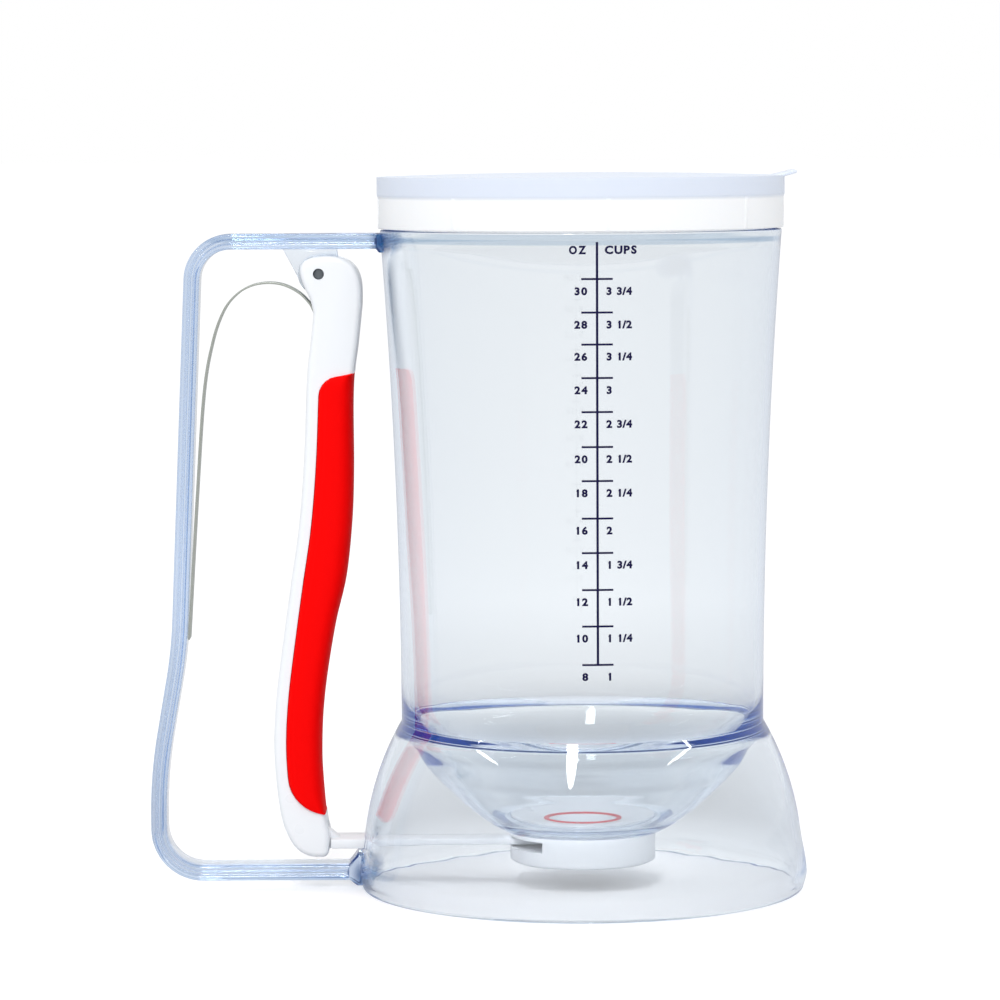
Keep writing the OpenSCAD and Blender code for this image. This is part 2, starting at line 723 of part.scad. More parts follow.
module shutter() {
    plate_back_x = -valve_r + plate_root;
    skirt_x = -skirt_r(shutter_z) + skirt_wall;
    eye_r = link_r + turn_gap + eye_wall;
    eye_front_x = pivot_x + foot_front + slide_gap;
    hole_w = 2 * (link_r + turn_gap);
    arm_top = shutter_z + arm_t / 2;
    color(white_col)
        difference() {
            union() {
                // Gate plate with a rounded leading edge
                translate([0, 0, shutter_z - plate_t / 2])
                    linear_extrude(height = plate_t)
                        difference() {
                            translate([plate_back_x, -plate_w / 2])
                                square([plate_front_x - plate_back_x, plate_w]);
                            for (side = [-1, 1])
                                translate([plate_front_x - plate_corner, side * (plate_w / 2 - plate_corner)])
                                    difference() {
                                        translate([0, side > 0 ? 0 : -plate_corner - cut])
                                            square([plate_corner + cut, plate_corner + cut]);
                                        circle(r = plate_corner, $fn = round_fn);
                                    }
                        }
                // Thin arm inside the skirt
                translate([skirt_x, -inner_arm_w / 2, shutter_z - inner_arm_t / 2])
                    cube([plate_back_x - skirt_x + eps, inner_arm_w, inner_arm_t]);
                // Wide arm through the skirt
                translate([eye_front_x, -arm_w / 2, shutter_z - arm_t / 2])
                    cube([skirt_x - eye_front_x + eps, arm_w, arm_t]);
                // Eye between the cheeks of the trigger's foot, with a gusset down to the arm
                across(eye_t, [
                    [link_x - eye_r, eye_mid_z - eye_half_h], [link_x + eye_r, eye_mid_z - eye_half_h],
                    [eye_front_x + eps, shutter_z - arm_t / 2],
                    [eye_front_x + arm_gusset, arm_top - eps],
                    [eye_front_x + arm_gusset / 3, arm_top + arm_gusset / 2],
                    [eye_front_x - arm_gusset / 5, arm_top + arm_gusset],
                    [link_x + eye_r, eye_mid_z + eye_half_h], [link_x - eye_r, eye_mid_z + eye_half_h]]);
            }
            // Upright slot, because the foot rises a little as it swings back
            for (rise = [0, link_rise])
                side_pin(link_x, link_z + rise, hole_w / 2, eye_t, eye_t);
            translate([link_x - hole_w / 2, -eye_t / 2 - cut, link_z])
                cube([hole_w, eye_t + 2 * cut, link_rise]);
        }
}

// ---- Valve ----

module valve_housing() {
    ring_z = mouth_z + collar_h / 2;
    groove_r = mouth_r - o_ring_d;
    channel_w = plate_w + 2 * slide_gap;
    channel_front = plate_front_x + slide_gap;
    color(white_col)
        difference() {
            rotate_extrude($fn = round_fn)
                polygon([[outlet_r, channel_low_z], [valve_r, channel_low_z],
                         [valve_r, ring_z - o_ring_d / 2], [groove_r, ring_z - o_ring_d / 2],
                         [groove_r, ring_z + o_ring_d / 2], [valve_r, ring_z + o_ring_d / 2],
                         [valve_r, valve_top_z - 0.4], [valve_r - 0.4, valve_top_z],
                         [valve_r - dish_rim, valve_top_z], [seal_r, floor_z],
                         [seal_r, floor_z - seal_root], [seal_in_r, floor_z - seal_root],
                         [seal_in_r, floor_z], [outlet_r, floor_z]]);
            // Channel that the shutter slides in, open towards the handle
            translate([-valve_r - cut, -channel_w / 2, channel_low_z - cut])
                cube([valve_r + cut + channel_front, channel_w, channel_high_z - channel_low_z + cut]);
        }
}

module valve_cover() {
    color(white_col)
        rotate_extrude($fn = round_fn)
            polygon([[outlet_r, valve_z], [valve_r - 0.8, valve_z], [valve_r, valve_z + 0.8],
                     [valve_r, channel_low_z], [outlet_r, channel_low_z]]);
}

module outlet_seal() {
    seal_top = floor_z + seal_lip;
    seal_edge = seal_lip / 2;
    color(red_col)
        rotate_extrude($fn = round_fn)
            polygon([[seal_in_r, floor_z - seal_root], [seal_r, floor_z - seal_root],
                     [seal_r, seal_top - seal_edge], [seal_r - seal_edge, seal_top],
                     [seal_in_r + seal_edge, seal_top], [seal_in_r, seal_top - seal_edge]]);
}

module valve_o_ring() {
    ring_z = mouth_z + collar_h / 2;
    color(red_col)
        translate([0, 0, ring_z])
            rotate_extrude($fn = round_fn)
                polygon([for (w = [0 : 30 : 330])
                    [mouth_r - o_ring_d / 2 + (o_ring_d / 2 - eps) * cos(w),
                     (o_ring_d / 2 - eps) * sin(w)]]);
}

container();
funnel_bowl();
base_skirt();
handle_frame();
lid();
trigger_lever();
trigger_grip();
pivot_pin();
link_pin();
leaf_spring();
shutter();
valve_housing();
valve_cover();
outlet_seal();
valve_o_ring();
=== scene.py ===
import math

import bpy
from mathutils import Matrix, Vector


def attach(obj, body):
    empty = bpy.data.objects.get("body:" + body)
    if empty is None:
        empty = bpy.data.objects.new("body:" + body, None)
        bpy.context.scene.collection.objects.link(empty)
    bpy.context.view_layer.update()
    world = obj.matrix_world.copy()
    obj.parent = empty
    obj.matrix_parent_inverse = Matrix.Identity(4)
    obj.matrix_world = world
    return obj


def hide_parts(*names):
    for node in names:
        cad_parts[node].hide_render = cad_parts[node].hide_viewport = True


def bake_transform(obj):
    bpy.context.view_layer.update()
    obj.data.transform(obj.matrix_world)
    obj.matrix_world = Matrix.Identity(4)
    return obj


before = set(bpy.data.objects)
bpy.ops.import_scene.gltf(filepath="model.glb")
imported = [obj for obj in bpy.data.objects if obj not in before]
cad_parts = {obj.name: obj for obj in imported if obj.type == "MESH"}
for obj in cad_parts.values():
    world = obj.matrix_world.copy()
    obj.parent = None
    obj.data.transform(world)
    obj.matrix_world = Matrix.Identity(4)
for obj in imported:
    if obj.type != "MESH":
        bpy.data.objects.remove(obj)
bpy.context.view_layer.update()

mm = 0.001
tiny = 1e-6  # two places nearer than this are one
print("frame loaded:", len(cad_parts), "nodes")

# Places that several pieces share, in mm
places = {
    "waistR": 46.8, "waistZ": 43.5, "flare": 4.75, "shoulderZ": 170.2,
    "pivotX": -67.1, "pivotZ": 159.1, "pivotR": 1.4,
    "linkX": -70.5, "linkZ": 12, "linkR": 1.5,
    "topBarZ": 167.4, "bottomBarZ": 4.4,
    "triggerW": 14,
}


def containerR(z):
    # outside radius of the container at height z
    rise = (z - places["waistZ"]) / (places["shoulderZ"] - places["waistZ"])
    return places["waistR"] + places["flare"] * rise ** 2


def upTrigger(share):
    # height at a share of the way from link pin to pivot
    return places["linkZ"] + share * (places["pivotZ"] - places["linkZ"])


# Modelling helpers

def deselect():
    if bpy.context.object and bpy.context.object.mode != "OBJECT":
        bpy.ops.object.mode_set(mode="OBJECT")
    bpy.ops.object.select_all(action="DESELECT")


def pick(piece):
    deselect()
    piece.select_set(True)
    bpy.context.view_layer.objects.active = piece


def editAll(piece):
    pick(piece)
    bpy.ops.object.mode_set(mode="EDIT")
    bpy.ops.mesh.select_all(action="SELECT")


def nameNew(name):
    # names the object just made and puts its place and turn into its mesh
    piece = bpy.context.object
    piece.name = piece.data.name = name
    bpy.ops.object.transform_apply()
    return piece


def joinAll(pieces):
    deselect()
    for piece in pieces:
        piece.select_set(True)
    bpy.context.view_layer.objects.active = pieces[0]
    bpy.ops.object.join()
    return pieces[0]


def endEdit():
    # turns all faces outwards and leaves edit mode
    bpy.ops.mesh.select_all(action="SELECT")
    bpy.ops.mesh.normals_make_consistent(inside=False)
    bpy.ops.object.mode_set(mode="OBJECT")


def splinePoints(points, steps=6):
    # smooth line through all the points
    smooth = []
    for i in range(len(points) - 1):
        a, b, c, d = (Vector(points[max(i - 1, 0)]), Vector(points[i]),
                      Vector(points[i + 1]), Vector(points[min(i + 2, len(points) - 1)]))
        for k in range(steps):
            t = k / steps
            smooth.append(0.5 * (2 * b + (c - a) * t + (2 * a - 5 * b + 4 * c - d) * t ** 2
                                 + (3 * b - a - 3 * c + d) * t ** 3))
    return smooth + [Vector(points[-1])]


def besideLine(points, distance):
    # the open line moved sideways
    moved, last = [], len(points) - 1
    for i, point in enumerate(points):
        along = Vector(points[min(i + 1, last)]) - Vector(points[max(i - 1, 0)])
        along.normalize()
        moved.append(Vector(point) + distance * Vector((-along.y, along.x)))
    return moved


def roundCorners(points, steps=5, closed=True):
    # a third number on a point is the radius of its corner
    rounded = []
    for i, point in enumerate(points):
        b = Vector(point[:2])
        radius = point[2] if len(point) > 2 else 0
        if not radius or (not closed and i in (0, len(points) - 1)):
            rounded.append(b)
            continue
        a, c = Vector(points[i - 1][:2]), Vector(points[(i + 1) % len(points)][:2])
        u, v = (a - b).normalized(), (c - b).normalized()
        half = u.angle(v) / 2
        middle = b + (u + v).normalized() * radius / math.sin(half)
        start = b + u * radius / math.tan(half) - middle
        end = b + v * radius / math.tan(half) - middle
        turn = start.angle_signed(end)
        for k in range(steps + 1):
            spin = -turn * k / steps
            rounded.append(middle + Vector((
                start.x * math.cos(spin) - start.y * math.sin(spin),
                start.x * math.sin(spin) + start.y * math.cos(spin))))
    return rounded


def drawLine(name, points, closed=True):
    # points are (x, z) or (x, y, z) in mm
    deselect()
    bpy.ops.curve.primitive_bezier_curve_add()
    drawn = bpy.context.object
    drawn.name = drawn.data.name = name
    drawn.data.splines.clear()
    line = drawn.data.splines.new("POLY")
    line.points.add(len(points) - 1)
    for spot, point in zip(line.points, points):
        x, y, z = point if len(point) == 3 else (point[0], 0, point[1])
        spot.co = (x * mm, y * mm, z * mm, 1)
    line.use_cyclic_u = closed
    return drawn


def toMesh(piece):
    pick(piece)
    bpy.ops.object.convert(target="MESH")
    return bpy.context.object


def turnProfile(name, points, closed=True, steps=192):
    # spins an (r, z) outline once round the upright axis
    piece = toMesh(drawLine(name, points, closed))
    editAll(piece)
    bpy.ops.mesh.spin(steps=steps, angle=2 * math.pi, center=(0, 0, 0), axis=(0, 0, 1))
    bpy.ops.mesh.select_all(action="SELECT")
    bpy.ops.mesh.remove_doubles(threshold=tiny)
    endEdit()
    return piece


def cutSlab(name, outline, width, rim=0, rimSteps=3):
    # an (x, z) outline made a slab across y, its rims rounded by rim
    piece = toMesh(drawLine(name, outline))
    editAll(piece)
    bpy.ops.mesh.edge_face_add()
    bpy.ops.transform.translate(value=(0, -width / 2 * mm, 0))
    bpy.ops.mesh.extrude_region_move(TRANSFORM_OT_translate={"value": (0, width * mm, 0)})
    bpy.ops.mesh.select_all(action="SELECT")
    bpy.ops.mesh.normals_make_consistent(inside=False)
    if rim:
        bpy.ops.mesh.select_mode(type="EDGE")
        bpy.ops.mesh.select_all(action="DESELECT")
        bpy.ops.object.mode_set(mode="OBJECT")
        for edge in piece.data.edges:
            a, b = (piece.data.vertices[i].co for i in edge.vertices)
            edge.select = abs(a.y - b.y) < tiny
        bpy.ops.object.mode_set(mode="EDIT")
        bpy.ops.mesh.bevel(offset=rim * mm, segments=rimSteps, affect="EDGES")
        bpy.ops.mesh.select_mode(type="VERT")
    bpy.ops.object.mode_set(mode="OBJECT")
    return piece


def addPin(name, x, z, radius, length, middle=0):
    # a round bar across y
    deselect()
    bpy.ops.mesh.primitive_cylinder_add(
        vertices=64, radius=radius * mm, depth=length * mm,
        location=(x * mm, middle * mm, z * mm), rotation=(math.pi / 2, 0, 0))
    return nameNew(name)


def addBlock(name, low, high):
    deselect()
    bpy.ops.mesh.primitive_cube_add(
        size=1, location=[(a + b) / 2 * mm for a, b in zip(low, high)],
        scale=[(b - a) * mm for a, b in zip(low, high)])
    return nameNew(name)


def combine(piece, tool, way="UNION"):
    pick(piece)
    join = piece.modifiers.new("join", "BOOLEAN")
    join.operation, join.object, join.solver = way, tool, "EXACT"
    bpy.ops.object.modifier_apply(modifier="join")
    bpy.data.objects.remove(tool)
    return piece


def carve(piece, tool):
    return combine(piece, tool, "DIFFERENCE")


def softenEdges(piece, width, angle=35):
    pick(piece)
    bevel = piece.modifiers.new("soften", "BEVEL")
    bevel.width, bevel.segments = width * mm, 2
    bevel.limit_method, bevel.angle_limit = "ANGLE", math.radians(angle)
    bevel.use_clamp_overlap = True
    bpy.ops.object.modifier_apply(modifier="soften")
    return piece


def finishSkin(piece, material):
    # smooth shading that keeps the sharp edges, and the one material
    pick(piece)
    bpy.ops.object.shade_smooth_by_angle(angle=math.radians(32))
    piece.data.materials.clear()
    piece.data.materials.append(material)


def settle(piece, body, material, stands=()):
    # last steps of a rigid piece: its skin, and the body it moves with
    finishSkin(piece, material)
    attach(piece, body)
    if stands:
        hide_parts(*stands)
    return piece


# Materials

def toLinear(code):
    # "#RRGGBB" as linear light
    parts = [int(code[i:i + 2], 16) / 255 for i in (1, 3, 5)]
    return [p / 12.92 if p <= 0.04045 else ((p + 0.055) / 1.055) ** 2.4 for p in parts] + [1]


def addNode(tree, kind, settings=None, links=None):
    # a link given as a node comes from that node's first output
    node = tree.nodes.new("ShaderNode" + kind)
    for name, value in (settings or {}).items():
        if isinstance(name, int) or name in node.inputs:
            node.inputs[name].default_value = value
        else:
            setattr(node, name, value)
    for name, source in (links or {}).items():
        if isinstance(source, bpy.types.Node):
            source = source.outputs[0]
        tree.links.new(source, node.inputs[name])
    return node


def newMaterial(name):
    material = bpy.data.materials.new(name)
    material.use_nodes = True
    material.node_tree.nodes.clear()
    return material, material.node_tree


def perMetre(size):
    # noise scale whose spots are about this many mm across
    return 1 / (size * mm)


def mouldedPlastic(name, colour, roughness, grain, depth, ior=1.54, extra=None):
    # moulded plastic: even colour, a spark-eroded skin and slow changes in its gloss
    material, tree = newMaterial(name)
    where = addNode(tree, "TexCoord")
    skin = addNode(tree, "TexNoise", {"Scale": perMetre(grain), "Detail": 3},
                   {"Vector": where.outputs["Object"]})
    slow = addNode(tree, "TexNoise", {"Scale": perMetre(18), "Detail": 2},
                   {"Vector": where.outputs["Object"]})
    gloss = addNode(tree, "MapRange", {"To Min": roughness - 0.06, "To Max": roughness + 0.06},
                    {"Value": slow})
    bump = addNode(tree, "Bump", {"Strength": 0.35, "Distance": depth * mm}, {"Height": skin})
    settings = {"Base Color": toLinear(colour), "IOR": ior}
    settings.update(extra or {})
    body = addNode(tree, "BsdfPrincipled", settings, {"Roughness": gloss, "Normal": bump})
    addNode(tree, "OutputMaterial", {}, {"Surface": body})
    return material


def lidPlastic():
    # injection-moulded polyethylene: waxy and a little translucent, with a light blue-grey
    # shade painted round its top band
    material = mouldedPlastic("injection moulded white polyethylene", "#FFFFFF", 0.4, 0.7, 0.03,
                              ior=1.51, extra={"Subsurface Weight": 0.15,
                                               "Subsurface Radius": (1, 0.9, 0.8),
                                               "Subsurface Scale": 1.2 * mm})
    tree = material.node_tree
    where = addNode(tree, "TexCoord")
    height = addNode(tree, "SeparateXYZ", {}, {"Vector": where.outputs["Object"]})
    # painted shade: the band round the top edge is tinted light blue-grey above the white wall
    top = addNode(tree, "MapRange", {"From Min": 177.8 * mm, "From Max": 179.2 * mm,
                                     "interpolation_type": "SMOOTHSTEP"},
                  {"Value": height.outputs["Z"]})
    colour = addNode(tree, "Mix", {"data_type": "RGBA", 6: toLinear("#FDFEFF"),
                                   7: toLinear("#E0E7F4")}, {0: top})
    body = next(node for node in tree.nodes if node.type == "BSDF_PRINCIPLED")
    tree.links.new(colour.outputs[2], body.inputs["Base Color"])
    return material


def clearPlastic():
    # injection-moulded SAN: glass-clear, blue where the light runs far through it,
    # with the faint waves that melt flow leaves in the skin
    material, tree = newMaterial("injection moulded clear SAN")
    where = addNode(tree, "TexCoord")
    flow = addNode(tree, "Mapping", {"Scale": (1, 1, 0.3)}, {"Vector": where.outputs["Object"]})
    waves = addNode(tree, "TexNoise", {"Scale": perMetre(14), "Detail": 1}, {"Vector": flow})
    bump = addNode(tree, "Bump", {"Strength": 0.04, "Distance": 0.1 * mm}, {"Height": waves})
    # the solid roots of the handle are the thickest places; a navy shade is painted there, partly
    # the blue of thick plastic and partly the dark of light lost in it, the same from every side
    shadedRootPlaces = (-49.9, 0, 167.3), (-55.6, 0, 3.4)
    flat = addNode(tree, "Mapping", {"Scale": (1, 0.2, 1)}, {"Vector": where.outputs["Object"]})
    roots = [addNode(tree, "VectorMath",
                     {"operation": "DISTANCE", 1: [part * mm for part in place]},
                     {0: flat}) for place in shadedRootPlaces]
    nearest = addNode(tree, "Math", {"operation": "MINIMUM"},
                      {0: roots[0].outputs["Value"], 1: roots[1].outputs["Value"]})
    thick = addNode(tree, "MapRange", {"From Min": 4.6 * mm, "From Max": 2.2 * mm},
                    {"Value": nearest})
    # and a pale blue painted shade runs round the shoulder under the lid
    bandZ = 167.8
    height = addNode(tree, "SeparateXYZ", {}, {"Vector": where.outputs["Object"]})
    above = addNode(tree, "Math", {"operation": "SUBTRACT", 1: bandZ * mm},
                    {0: height.outputs["Z"]})
    apart = addNode(tree, "Math", {"operation": "ABSOLUTE"}, {0: above})
    band = addNode(tree, "MapRange", {"From Min": 0.8 * mm, "From Max": 0.45 * mm},
                   {"Value": apart})
    paintedShoulderShade = addNode(tree, "Mix", {"data_type": "RGBA", 6: toLinear("#FFFFFD"),
                                 7: toLinear("#D9E3EB")}, {0: band})
    # painted shade: the roots' navy and the shoulder band's blue-grey go into the clear base colour
    paintedShade = addNode(tree, "Mix", {"data_type": "RGBA", 7: toLinear("#0E5890")},
                   {0: thick, 6: paintedShoulderShade.outputs[2]})
    body = addNode(tree, "BsdfPrincipled",
                   {"Roughness": 0.02, "IOR": 1.57, "Transmission Weight": 1},
                   {"Base Color": paintedShade.outputs[2], "Normal": bump})
    depth = addNode(tree, "VolumeAbsorption", {"Color": toLinear("#2795D7"), "Density": 45})
    # painted light: the plastic glows a little blue inside, which shows where the view runs on
    # inside the wall
    paintedGlow = addNode(tree, "Emission", {"Color": toLinear("#1480C8"), "Strength": 5})
    inside = addNode(tree, "AddShader", {}, {0: depth, 1: paintedGlow})
    addNode(tree, "OutputMaterial", {}, {"Surface": body, "Volume": inside})
    return material


def steel(name, colour, roughness, stretch):
    # drawn or rolled steel: fine lines along the metal break up its shine
    material, tree = newMaterial(name)
    where = addNode(tree, "TexCoord")
    along = addNode(tree, "Mapping", {"Scale": stretch}, {"Vector": where.outputs["Object"]})
    lines = addNode(tree, "TexNoise", {"Scale": perMetre(0.35), "Detail": 4}, {"Vector": along})
    gloss = addNode(tree, "MapRange", {"To Min": roughness - 0.1, "To Max": roughness + 0.12},
                    {"Value": lines})
    bump = addNode(tree, "Bump", {"Strength": 0.25, "Distance": 0.02 * mm}, {"Height": lines})
    body = addNode(tree, "BsdfPrincipled", {"Base Color": toLinear(colour), "Metallic": 1},
                   {"Roughness": gloss, "Normal": bump})
    addNode(tree, "OutputMaterial", {}, {"Surface": body})
    return material


clearSan = clearPlastic()
# injection-moulded ABS: hard, white with a cold cast, satin
whiteAbs = mouldedPlastic("injection moulded white ABS", "#F8FAFD", 0.3, 0.5, 0.02)
whitePe = lidPlastic()
# overmoulded thermoplastic rubber: bright red, matt and dry to the touch
redTpe = mouldedPlastic("overmoulded red thermoplastic rubber", "#FF0000", 0.6, 0.35, 0.03,
                        ior=1.48, extra={"Specular IOR Level": 0.06})
# moulded silicone rubber: red, slightly waxy
redSilicone = mouldedPlastic("moulded red silicone rubber", "#DD1428", 0.42, 0.6, 0.02,
                             ior=1.43)
# moulded silicone without pigment: milky
plainSilicone = mouldedPlastic("moulded natural silicone rubber", "#D9DCE6", 0.4, 0.6, 0.02,
                               ior=1.43)
# rolled strip and turned bar: grey, half matt
springSteel = steel("rolled spring steel", "#B4B8B0", 0.4, (1, 0.12, 1))
pinSteel = steel("turned steel", "#6F7478", 0.38, (1, 0.2, 1))
# pad-printed epoxy ink: navy, nearly black, slightly raised
printInk = mouldedPlastic("pad printed navy ink", "#0A063E", 0.5, 0.3, 0.01,
                          extra={"Specular IOR Level": 0.15})
print("materials made")

# Clear vessel: container, funnel and skirt in one turned shell

vessel = {
    "wall": 1.8, "neckStep": 1.3, "neckH": 11.7, "neckRound": 0.5, "shoulderIn": 0.3,
    "shoulderOut": 0.4, "waistRound": 1,
    "footR": 57.15, "footIn": 0.1, "footRound": 0.9, "skirtWall": 2, "skirtPower": 2.4,
    "bead": 0.9, "beadZ": 4, "beadTail": 11,
    "funnelZ": 41.5, "seamRound": 0.7, "lipZ": 50.5, "filletFrom": 18, "rimSkip": 5,
    "mouthZ": 14.8, "mouthR": 18.9, "mouthRound": 0.3,
    "collarH": 3.8, "collarR": 20.6, "collarIn": 0.2, "collarOut": 0.5,
    # the bowl's underside, in shares of its width and height from the collar to the seam
    "bowl": [(1, 1), (0.984, 0.937), (0.943, 0.854), (0.848, 0.674), (0.721, 0.532), (0.59, 0.412),
             (0.344, 0.206), (0.148, 0.075), (0, 0)],
    "wallSteps": 30, "skirtSteps": 18, "footSteps": 10, "filletSteps": 10, "turnSteps": 192,
    "armSlotLow": (-62, -6.3, 10.5), "armSlotHigh": (-40, 6.3, 13.5),
}


def skirtR(z):
    # outside radius of the skirt at height z, rounded foot included
    low, tail = vessel["beadZ"], vessel["beadTail"]
    turn = z / low if z < low else min(1 + (z - low) / tail, 2)
    bead = vessel["bead"] * math.sin(math.pi / 2 * turn) ** 2
    spread = vessel["footR"] - places["waistR"]
    return vessel["footR"] - spread * (z / places["waistZ"]) ** vessel["skirtPower"] + bead


def heights(start, end, steps):
    # evenly spaced, both ends included
    return [start + (end - start) * i / steps for i in range(steps + 1)]


def vesselProfile():
    v, waistZ, shoulderZ = vessel, places["waistZ"], places["shoulderZ"]
    seamR = places["waistR"] - v["wall"]
    neckR = places["waistR"] + places["flare"] - v["neckStep"]
    neckTop = shoulderZ + v["neckH"]
    # down the outside: neck, container, skirt and foot
    points = [(neckR - v["wall"], neckTop, v["neckRound"]), (neckR, neckTop, v["neckRound"]),
              (neckR, shoulderZ, v["shoulderIn"]),
              (containerR(shoulderZ), shoulderZ, v["shoulderOut"])]
    points += [(containerR(z), z) for z in heights(shoulderZ, waistZ, v["wallSteps"])[1:-1]]
    points.append((places["waistR"], waistZ, v["waistRound"]))
    footTop = 2 * v["beadZ"]
    points += [(skirtR(z), z) for z in heights(waistZ, footTop, v["skirtSteps"])[1:]]
    points += [(skirtR(z), z) for z in heights(footTop, 0, v["footSteps"])[1:-1]]
    footR = v["footR"] - v["footIn"]
    points += [(footR, 0, v["footRound"]), (footR - v["skirtWall"], 0, v["footRound"])]
    # up the inside of the skirt to the seam under the bowl
    points += [(skirtR(z) - v["skirtWall"], z)
               for z in heights(v["beadZ"] / 2, v["funnelZ"] - v["skirtWall"] / 2, v["skirtSteps"])]
    points.append((seamR, v["funnelZ"], v["seamRound"]))
    # the bowl's underside and the collar
    outside = splinePoints([(v["collarR"] + a * (seamR - v["collarR"]),
                             v["mouthZ"] + b * (v["funnelZ"] - v["mouthZ"])) for a, b in v["bowl"]])
    collarZ = v["mouthZ"] + v["collarH"]
    inside = [p for p in besideLine(outside, -v["wall"]) if p.y > collarZ]
    points += [tuple(p) for p in outside[v["rimSkip"]:-1]]
    points += [(v["collarR"], v["mouthZ"], v["mouthRound"]),
               (v["mouthR"], v["mouthZ"], v["mouthRound"]), (v["mouthR"], collarZ, v["collarIn"]),
               (inside[-1].x - inside[-1].y + collarZ, collarZ, v["collarOut"])]
    # the bowl's inside, a fillet at its rim, then the container's inside
    low = inside[v["filletFrom"]]
    step = low - inside[v["filletFrom"] + 1]
    knee = Vector((seamR, low.y + step.y / step.x * (seamR - low.x)))
    top = Vector((seamR, v["lipZ"]))
    points += [tuple(p) for p in reversed(inside[v["filletFrom"] + 1:])]
    for k in range(v["filletSteps"] + 1):
        t = k / v["filletSteps"]
        points.append(tuple((1 - t) ** 2 * low + 2 * t * (1 - t) * knee + t * t * top))
    points += [(containerR(z) - v["wall"], z)
               for z in heights(v["lipZ"], shoulderZ - v["neckStep"], v["wallSteps"])[1:]]
    return roundCorners(points)


clearVessel = turnProfile("clearVessel", vesselProfile(), steps=vessel["turnSteps"])

# Loop handle in one piece with the vessel
handle = {
    "thick": 4, "wide": 11, "edge": 0.7, "groove": 0.8, "grooveW": 1.4, "grooveLean": 0.25,
    "soft": 0.3, "inside": 1, "cornerSteps": 16,
    "corners": [(-99.3, places["topBarZ"], 10), (-103.9, 62.5, 120), (-109.6, 30, 120),
                (-109.6, places["bottomBarZ"], 11.5)],
    "flareW": 11.4, "flareRim": 0.8, "flareRound": 1, "flareStep": 0.5, "flareOut": 0.4,
    "flareSink": 0.05, "topFlareL": 1.4, "topUnder": 1, "topOver": -0.1,
    "bottomFlareL": 3, "bottomUnder": 1.4, "bottomOver": 2.8,
    "lugR": 5.5, "lugT": 4, "lugBack": 9.4, "lugFront": 4.5, "lugSink": 0.3,
    "lugArc": (190, 361, 5), "pinHole": 1.45,
}


def barSection():
    # grooved bar section: across the bar, then through its thickness
    h = handle
    w, t, g = h["wide"] / 2, h["thick"] / 2, h["grooveW"] / 2
    deep, low = w - h["groove"], g - h["grooveLean"]
    soft, edge = h["soft"], h["edge"]
    corners = [(w, g, soft), (w, t, edge), (-w, t, edge), (-w, g, soft), (-deep, low, soft),
               (-deep, -low, soft), (-w, -g, soft), (-w, -t, edge), (w, -t, edge), (w, -g, soft),
               (deep, -low, soft), (deep, low, soft)]
    return roundCorners(corners, steps=6)


def sweepBar():
    h, topZ, bottomZ = handle, places["topBarZ"], places["bottomBarZ"]
    start = (-containerR(topZ) + h["inside"], topZ)
    end = (-skirtR(bottomZ) + h["inside"], bottomZ)
    route = roundCorners([start, *h["corners"], end], steps=h["cornerSteps"], closed=False)
    path = drawLine("barPath", route, False)
    section = drawLine("barSection", [(x, y, 0) for x, y in barSection()])
    section.data.dimensions = "2D"
    path.data.bevel_mode = "OBJECT"
    path.data.bevel_object = section
    path.data.use_fill_caps = True
    bar = toMesh(path)
    bpy.data.objects.remove(section)
    editAll(bar)
    bpy.ops.mesh.remove_doubles(threshold=tiny)
    endEdit()
    return bar


def makeHandle():
    h, t, topZ, bottomZ = handle, handle["thick"] / 2, places["topBarZ"], places["bottomBarZ"]
    bar = sweepBar()
    # the bar thickens where it meets the container and the skirt
    for z, radius, length, under, over in (
            (topZ, containerR(topZ), h["topFlareL"], h["topUnder"], h["topOver"]),
            (bottomZ, skirtR(bottomZ), h["bottomFlareL"], h["bottomUnder"], h["bottomOver"])):
        far, near = -radius - length, -radius - h["flareOut"]
        wallX = -radius + h["inside"] + h["flareSink"]
        low, high, bend = z - t - under, z + t + over, h["flareRound"]
        combine(bar, cutSlab("flare", roundCorners([
            (far, z - t + h["flareStep"]), (near, low, bend), (wallX, low), (wallX, high),
            (near, high, bend), (far, z + t - h["flareStep"])]),
            h["flareW"], rim=h["flareRim"], rimSteps=4))
    x, z = places["pivotX"], places["pivotZ"]
    lugTop = topZ - t + h["lugSink"]
    arc = [(x + h["lugR"] * math.cos(math.radians(w)), z + h["lugR"] * math.sin(math.radians(w)))
           for w in range(*h["lugArc"])]
    combine(bar, cutSlab("lug", [(x + h["lugFront"], lugTop), (x - h["lugBack"], lugTop)] + arc,
                         h["lugT"], rim=h["soft"], rimSteps=2))
    return carve(bar, addPin("pinHole", x, z, h["pinHole"], h["lugT"] + 2))


combine(clearVessel, makeHandle())
carve(clearVessel, addBlock("armSlot", vessel["armSlotLow"], vessel["armSlotHigh"]))
settle(clearVessel, "vessel", clearSan,
       ("container", "funnel_bowl", "base_skirt", "handle_frame"))
clearVessel.visible_shadow = False  # light passes the clear shell
print("vessel made:", len(clearVessel.data.polygons), "faces")

# Lid

lidSizes = {
    "inR": 50.55, "outR": 52.0, "bandR": 52.25, "lowZ": 170.5, "bandZ": 178.6, "bandUnder": 0.3,
    "bandOver": 0.5, "ceilingZ": 182.2, "edgeZ": 183.7, "dome": 0.9, "domeSteps": 12,
    "lipRound": 0.3, "bandRound": 0.8,
    "ribs": 8, "ribW": 1.2, "ribIn": 0.5, "ribOut": 0.12, "ribLow": 0.3, "ribHigh": 0.2,
    "ribEdge": 0.15, "ribTurn": -83.5,
    "tabW": 16, "tabIn": 3, "tabOut": 2.7, "tabT": 1, "tabRise": 1.5, "tabLap": 0.1,
    "tabRound": 0.4, "tabRim": 0.3,
}


